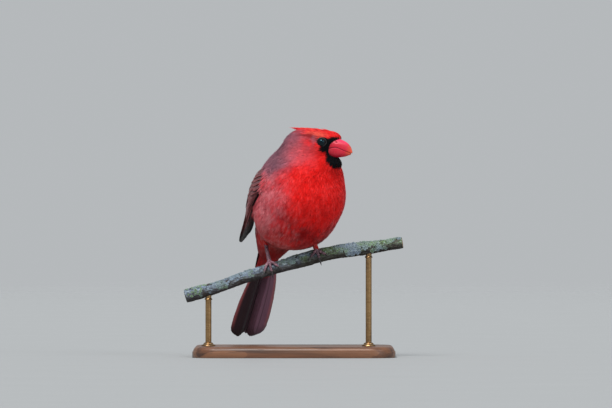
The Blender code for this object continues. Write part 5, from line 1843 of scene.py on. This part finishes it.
def cut_wood_material(colours):
    """The sawn ends of the perch, with their rings."""
    tree = Finish("cut_wood")
    (radial,) = tree.values_of("radial")
    wobble = tree.noise(tree.place(), 300.0, 3.0, 0.6)
    rings = tree.math("SINE", (radial + wobble * 0.12) * 46.0)
    colour = rings.step(-1.0, 1.0).mix((0.20, 0.11, 0.055), (0.42, 0.27, 0.15))
    colour = radial.step(0.86, 0.97).mix(colour, colours.bark_dark_and_shade)
    rough = wobble.step(0.2, 0.8, 0.7, 0.85)
    return tree.done(Base_Color=colour, Roughness=rough, Normal=tree.bump(rings, 0.3, 0.0002))


def lichen_material(colours):
    """Leafy lichen, pale blue-grey to green, paler at its rims."""
    tree = Finish("lichen")
    place = tree.place()
    tint, edge = tree.values_of("tint", "edge")
    powder = tree.noise(place, 1700.0, 3.0, 0.7)
    colour = tree.noise(place, 55.0, 2.0, 0.5).step(0.42, 0.6).mix(colours.lichen, colours.lichen_green)
    colour = (tint * 0.5).mix(colour, colours.lichen_deep)
    colour = (edge.step(0.4, 1.0) * 0.6).mix(colour, colours.lichen_pale)
    colour = (powder.step(0.5, 0.75) * 0.5).mix(colour, colours.lichen_pale)
    return tree.done(
        Base_Color=colour, Roughness=powder.step(0.2, 0.8, 0.8, 0.95), Normal=tree.bump(powder, 0.6, 0.0004),
        Specular_IOR_Level=0.2,
    )


def plinth_material(colours):
    """Oiled walnut with long grain and open pores."""
    tree = Finish("base_wood")
    place = tree.place()
    bend = tree.noise(tree.stretched(place, (0.3, 1, 1)), 14.0, 3.0, 0.5, "Color")
    across = tree.stretched(place + bend * (0.0, 0.03, 0.03), (0.06, 1.0, 1.0))
    figure = tree.noise(across, 160.0, 5.0, 0.6)
    bands = tree.math("FRACT", tree.noise(across, 30.0, 2.0, 0.4) * 9.0)
    pores = tree.noise(tree.stretched(place, (0.035, 1.0, 1.0)), 1500.0, 2.0, 0.5).step(0.60, 0.70)
    colour = figure.step(0.3, 0.7).mix(colours.wood_dark, colours.wood)
    colour = (bands.step(0.1, 0.95) * 0.5).mix(colour, colours.wood_light)
    return tree.done(
        Base_Color=(pores * 0.6).mix(colour, (0.012, 0.006, 0.003)),
        Roughness=figure.step(0.2, 0.8, 0.40, 0.5) + pores * 0.2,
        Normal=tree.bump(figure * 0.3 - pores, 0.3, 0.0002), Coat_Weight=0.18, Coat_Roughness=0.3,
    )


def bronze_material(colours):
    """Turned bronze with fine brushing and a dark patina in patches."""
    tree = Finish("rod_metal")
    place = tree.place()
    light, height = tree.group("drawn_grain", Place=place, Stretch=(1.0, 1.0, 9.0), Scale=500.0)
    patina = tree.noise(place, 70.0, 5.0, 0.6).step(0.45, 0.7)
    colour = (light * 0.25).mix(patina.mix(colours.bronze, colours.bronze_dark), (0.62, 0.45, 0.26))
    return tree.done(
        Base_Color=colour, Metallic=1.0, Roughness=light.step(0.0, 1.0, 0.26, 0.38) + patina * 0.15,
        Normal=tree.bump(height, 0.15, 0.0001),
    )


def floor_material(colour, near, far):
    """A plain pale floor that fades out with distance."""
    tree = Finish("stage_floor")
    place = tree.place()
    dust = tree.noise(place, 9.0, 4.0, 0.6)
    return tree.done(
        Base_Color=(dust * 0.04).mix(colour, (0.5, 0.5, 0.5)), Roughness=dust.step(0.2, 0.8, 0.6, 0.7),
        Alpha=tree.vector("LENGTH", place).step(near, far, 1.0, 0.0),
    )


# Settings that a user would change


def tone(label, use, *screen):
    """A colour setting, given by its screen values."""
    start = linear(*screen)
    return bpy.props.FloatVectorProperty(
        name=label, description=use, default=start, subtype="COLOR", size=3, min=0.0, max=1.0
    )


def amount(label, use, start, **limits):
    """A setting that is one number."""
    return bpy.props.FloatProperty(name=label, description=use, default=start, **limits)


def share_of(label, use, low, high):
    """A setting that is a share of the usual amount."""
    return amount(label, use, 1.0, min=low, max=high, subtype="FACTOR")


class CardinalColours(bpy.types.PropertyGroup):
    """The colours of plumage, horn, skin, perch and stand."""

    red: tone("Red", "Body feathers", 226, 20, 20)
    deep: tone("Deep red", "Shaded patches of the body feathers", 150, 12, 16)
    bright: tone("Bright red", "Breast and crown", 238, 24, 20)
    back: tone("Back", "Mauve grey of back and rump", 108, 78, 92)
    nape: tone("Nape", "Grey mauve behind the head", 132, 88, 104)
    flank: tone("Flank", "Mauve pink of the flanks", 218, 104, 114)
    belly: tone("Belly", "Duller pink of the belly", 172, 66, 62)
    vent: tone("Undertail", "Dark red under the tail", 132, 46, 48)
    rose: tone("Rose", "Paler rosy feathers of shoulder and cheek", 206, 96, 108)
    frost: tone("Frosted tips", "Pale pink tips of the breast and flank", 236, 150, 154)
    crown: tone("Crown", "Orange red of crown and crest", 224, 34, 36)
    brow: tone("Brow", "Peach red over the eye", 220, 84, 70)
    streak: tone("Eye streak", "Dark red behind the eye", 118, 22, 26)
    black: tone("Face", "Black round the bill", 5, 5, 9)
    dusk: tone("Dusky web", "Dark inner webs of the wing", 40, 24, 30)
    web: tone("Wing web", "Mauve webs of the wing", 84, 50, 56)
    edge: tone("Wing edge", "Red edges of the wing's feathers", 176, 76, 76)
    covert: tone("Coverts", "Short feathers over the wing", 122, 62, 66)
    tip: tone("Wing tip", "Dark ends of the long feathers", 7, 5, 8)
    shaft: tone("Shaft", "The feathers' shafts", 46, 24, 28)
    tail_web: tone("Tail web", "Plum webs of the tail", 118, 82, 102)
    # Painted shade: the dusky colour of the tail's half turned from the light.
    tail_shaded_half: tone("Dusky tail", "Dark webs of the tail", 38, 20, 30)
    tail_edge: tone("Tail edge", "Red edges of the tail's feathers", 160, 84, 88)
    bill: tone("Bill", "Coral horn", 190, 16, 46)
    bill_base: tone("Bill base", "Deeper coral at the bill's base", 148, 10, 32)
    bill_tip: tone("Bill tip", "Orange horn at the bill's end", 200, 78, 48)
    # Painted highlight: the pink laid where the bill's ridge faces up.
    bill_highlight: tone("Bill ridge", "Pink along the bill's upper ridge", 236, 66, 104)
    iris: tone("Iris", "Deep brown iris", 20, 11, 10)
    lid: tone("Lid", "Bare skin of the lids", 13, 11, 14)
    leg: tone("Leg", "Dusky pink scales of legs and toes", 176, 124, 140)
    claw: tone("Claw", "Dark horn of the claws", 44, 32, 34)
    bark: tone("Bark", "Lighter bark", 88, 84, 80)
    # Dark bark of the furrows and the sawn ends' rims, also the painted shade on the bark's underside.
    bark_dark_and_shade: tone("Dark bark", "Creases and underside of the bark", 40, 34, 34)
    lichen: tone("Lichen", "Blue grey lichen", 110, 124, 144)
    lichen_green: tone("Green lichen", "Green lichen", 94, 118, 78)
    lichen_pale: tone("Pale lichen", "Rims and powder of the lichen", 160, 176, 178)
    lichen_deep: tone("Deep lichen", "Older lobes of the lichen", 48, 58, 58)
    wood: tone("Wood", "Walnut of the plinth", 106, 66, 42)
    wood_dark: tone("Dark wood", "Darker grain of the plinth", 58, 34, 22)
    wood_light: tone("Light wood", "Lighter grain of the plinth", 132, 88, 58)
    bronze: tone("Bronze", "Rods and collars", 150, 116, 76)
    bronze_dark: tone("Patina", "Darkened bronze", 84, 64, 46)
    floor: tone("Floor", "The plain floor", 156, 159, 161)


class CardinalSizes(bpy.types.PropertyGroup):
    """Sizes and amounts of the coat, the lichen, the floor and the light."""

    spacing: share_of("Feather spacing", "Distance between feathers, as a share of the real one", 0.7, 3.0)
    length: share_of("Feather length", "Length of the body feathers, as a share of the real one", 0.5, 1.5)
    strands: bpy.props.IntProperty(
        name="Strands", description="Strands that each feather's end frays into", default=15, min=2, max=20
    )
    lichen: share_of("Lichen", "How much leafy lichen grows on the perch", 0.0, 2.0)
    floor_near: amount("Floor", "Distance at which the floor starts to fade out", 2.0, unit="LENGTH")
    floor_far: amount("Floor's end", "Distance at which the floor has faded out", 6.0, unit="LENGTH")
    key_power: amount("Key light", "Strength of the soft light from above", 3.2, min=0.0)
    fill_power: amount("Fill light", "Strength of the soft light from the right", 0.8, min=0.0)
    sky: amount("Surroundings", "Strength of the pale surroundings", 0.5, min=0.0, subtype="FACTOR")


MADE = {}
# The crease colours: painted shade in the grooves between the scales.
CLAW_CREASE, LID_CREASE, LEG_CREASE = (0.008, 0.006, 0.006), (0.008, 0.005, 0.007), linear(44, 28, 36)


class CARDINAL_OT_finishes(bpy.types.Operator):
    """Make the node groups and the materials"""

    bl_idname = "cardinal.finishes"
    bl_label = "Finishes"

    def execute(self, context):
        use = context.scene.cardinal_colours
        markings_group(use)
        barbs_group()
        grain_group()
        MADE["skin"] = plumage_material("bare_skin", use, False)
        MADE["plumage"] = plumage_material("plumage", use, True)
        MADE["wing"] = flight_material("wing_feathers", use, use.web, use.edge, use.covert, use.dusk, False)
        webs = (use.tail_web, use.tail_edge, use.tail_web, use.tail_shaded_half)
        MADE["tail"] = flight_material("tail_feathers", use, *webs, True)
        MADE["bill"] = bill_material(use)
        MADE["eye"] = eye_material(use)
        MADE["lid"] = skin_material("lid_skin", use.lid, LID_CREASE, 1500.0, 0.5)
        MADE["leg"] = skin_material("leg_scales", use.leg, LEG_CREASE, 700.0, 0.5)
        MADE["claw"] = skin_material("claw_horn", use.claw, CLAW_CREASE, 500.0, 0.32)
        MADE["bark"] = bark_material(use)
        MADE["cut"] = cut_wood_material(use)
        MADE["lichen"] = lichen_material(use)
        MADE["wood"] = plinth_material(use)
        MADE["bronze"] = bronze_material(use)
        return {"FINISHED"}


class CARDINAL_OT_plumage(bpy.types.Operator):
    """Build the skin and the body's feathers over it"""

    bl_idname = "cardinal.plumage"
    bl_label = "Skin and Body Feathers"

    def execute(self, context):
        make_coat(*make_skin(MADE["skin"]), MADE["plumage"], context.scene.cardinal_sizes)
        make_thigh_coat(MADE["plumage"], context.scene.cardinal_sizes)
        return {"FINISHED"}


class CARDINAL_OT_crest(bpy.types.Operator):
    """Build the laid crest"""

    bl_idname = "cardinal.crest"
    bl_label = "Crest"

    def execute(self, context):
        make_crest(MADE["plumage"])
        return {"FINISHED"}


class CARDINAL_OT_eyes(bpy.types.Operator):
    """Build both eyes and their lids"""

    bl_idname = "cardinal.eyes"
    bl_label = "Eyes and Lids"

    def execute(self, context):
        for side in (1, -1):
            make_eye(side, MADE["eye"])
        make_lids(MADE["lid"])
        return {"FINISHED"}


class CARDINAL_OT_bill(bpy.types.Operator):
    """Build the upper and the lower bill"""

    bl_idname = "cardinal.bill"
    bl_label = "Bill"

    def execute(self, context):
        make_bill(True, MADE["bill"])
        make_bill(False, MADE["bill"])
        return {"FINISHED"}


class CARDINAL_OT_wings(bpy.types.Operator):
    """Build both folded wings, feather by feather"""

    bl_idname = "cardinal.wings"
    bl_label = "Wings"

    def execute(self, context):
        for side in (1, -1):
            make_wing(side, MADE["wing"])
        return {"FINISHED"}


class CARDINAL_OT_tail(bpy.types.Operator):
    """Build the tail's long feathers and the soft ones at their roots"""

    bl_idname = "cardinal.tail"
    bl_label = "Tail"

    def execute(self, context):
        make_tail(MADE["tail"])
        make_tail_coverts(MADE["plumage"])
        return {"FINISHED"}


class CARDINAL_OT_feet(bpy.types.Operator):
    """Build the legs, the toes round the perch, and the claws"""

    bl_idname = "cardinal.feet"
    bl_label = "Legs, Feet and Claws"

    def execute(self, context):
        for side, x, turn in FEET:
            make_claws(side, make_leg(side, x, turn, MADE["leg"]), MADE["claw"])
        return {"FINISHED"}


class CARDINAL_OT_perch(bpy.types.Operator):
    """Build the cut branch and the lichen on it"""

    bl_idname = "cardinal.perch"
    bl_label = "Perch and Lichen"

    def execute(self, context):
        make_perch(MADE["bark"], MADE["cut"])
        make_lichen(MADE["lichen"], context.scene.cardinal_sizes.lichen)
        return {"FINISHED"}


class CARDINAL_OT_stand(bpy.types.Operator):
    """Build the plinth and the rods"""

    bl_idname = "cardinal.stand"
    bl_label = "Display Stand"

    def execute(self, context):
        make_base(MADE["wood"])
        make_rods(MADE["bronze"])
        return {"FINISHED"}


LIGHT_SPREAD = radians(32)
FLOOR_RINGS, FLOOR_SIDES = array((0.4, 1.0, 2.0, 3.0, 4.0, 5.0, 6.0)) / 6.0, 96


def add_sun(name, toward, strength, colour):
    """A soft light from far away in this direction."""
    data = bpy.data.lights.new(name, "SUN")
    data.energy = strength
    data.angle = LIGHT_SPREAD
    data.color = colour
    light = bpy.data.objects.new(name, data)
    light.rotation_euler = Vector(toward).to_track_quat("Z", "Y").to_euler()
    bpy.context.scene.collection.objects.link(light)


def add_floor(colour, near, far):
    """A round floor that fades out."""
    turns = circle(FLOOR_SIDES)
    ring = stack([np.cos(turns), np.sin(turns), np.zeros(FLOOR_SIDES)], 1)
    points = concatenate([reach * ring for reach in FLOOR_RINGS * far] + [np.zeros((1, 3))])
    quads = ring_faces(len(FLOOR_RINGS), FLOOR_SIDES)
    faces = concatenate([split_quads(quads)[:, ::-1], cap(0, FLOOR_SIDES, len(points) - 1)])
    mesh_piece("stage_floor", points, faces, floor_material(colour, near, far))


def add_camera():
    """The camera in front of the bird, in the photo's direction."""
    data = bpy.data.cameras.new("portrait_camera")
    data.lens = VIEW_LENS
    data.sensor_width = VIEW_SENSOR
    data.clip_end = 100.0
    camera = bpy.data.objects.new("portrait_camera", data)
    x, y, z = VIEW_MIDDLE
    camera.location = (x, y - VIEW_LENS / VIEW_SENSOR * VIEW_WIDTH, z)
    camera.rotation_euler = (pi / 2, 0.0, 0.0)
    bpy.context.scene.collection.objects.link(camera)
    bpy.context.scene.camera = camera


class CARDINAL_OT_stage(bpy.types.Operator):
    """Set up the floor, the light and the camera"""

    bl_idname = "cardinal.stage"
    bl_label = "Stage"

    def execute(self, context):
        sizes = context.scene.cardinal_sizes
        add_floor(context.scene.cardinal_colours.floor, sizes.floor_near, sizes.floor_far)
        world = bpy.data.worlds.new("pale_surroundings")
        world.use_nodes = True
        sky = world.node_tree.nodes["Background"].inputs
        sky["Color"].default_value = (0.93, 0.97, 1.0, 1.0)
        sky["Strength"].default_value = sizes.sky
        context.scene.world = world
        add_sun("key_sun", (-0.35, -1.0, 1.5), sizes.key_power, (1.0, 0.985, 0.96))
        add_sun("fill_sun", (1.0, -0.9, 0.6), sizes.fill_power, (0.92, 0.96, 1.0))
        add_camera()
        context.scene.view_settings.view_transform = "Standard"
        return {"FINISHED"}


PIECES = (
    CARDINAL_OT_finishes, CARDINAL_OT_plumage, CARDINAL_OT_crest, CARDINAL_OT_eyes, CARDINAL_OT_bill,
    CARDINAL_OT_wings, CARDINAL_OT_tail, CARDINAL_OT_feet, CARDINAL_OT_perch, CARDINAL_OT_stand,
    CARDINAL_OT_stage,
)


class CARDINAL_PT_panel(bpy.types.Panel):
    """Lists the settings and the steps of the cardinal"""

    bl_label = "Northern Cardinal"
    bl_idname = "CARDINAL_PT_panel"
    bl_space_type = "VIEW_3D"
    bl_region_type = "UI"
    bl_category = "Cardinal"

    def draw(self, context):
        layout = self.layout
        for group in (context.scene.cardinal_sizes, context.scene.cardinal_colours):
            column = layout.column(align=True)
            for key in type(group).__annotations__:
                column.prop(group, key)
        for made in PIECES:
            layout.operator(made.bl_idname)


def register():
    for made in (CardinalColours, CardinalSizes, *PIECES, CARDINAL_PT_panel):
        bpy.utils.register_class(made)
    bpy.types.Scene.cardinal_colours = bpy.props.PointerProperty(type=CardinalColours)
    bpy.types.Scene.cardinal_sizes = bpy.props.PointerProperty(type=CardinalSizes)


def unregister():
    del bpy.types.Scene.cardinal_sizes
    del bpy.types.Scene.cardinal_colours
    for made in reversed((CardinalColours, CardinalSizes, *PIECES, CARDINAL_PT_panel)):
        bpy.utils.unregister_class(made)


def main():
    """Registers the classes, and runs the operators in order."""
    register()
    for made in PIECES:
        area, step = made.bl_idname.split(".")
        getattr(getattr(bpy.ops, area), step)()


if __name__ == "__main__":
    main()
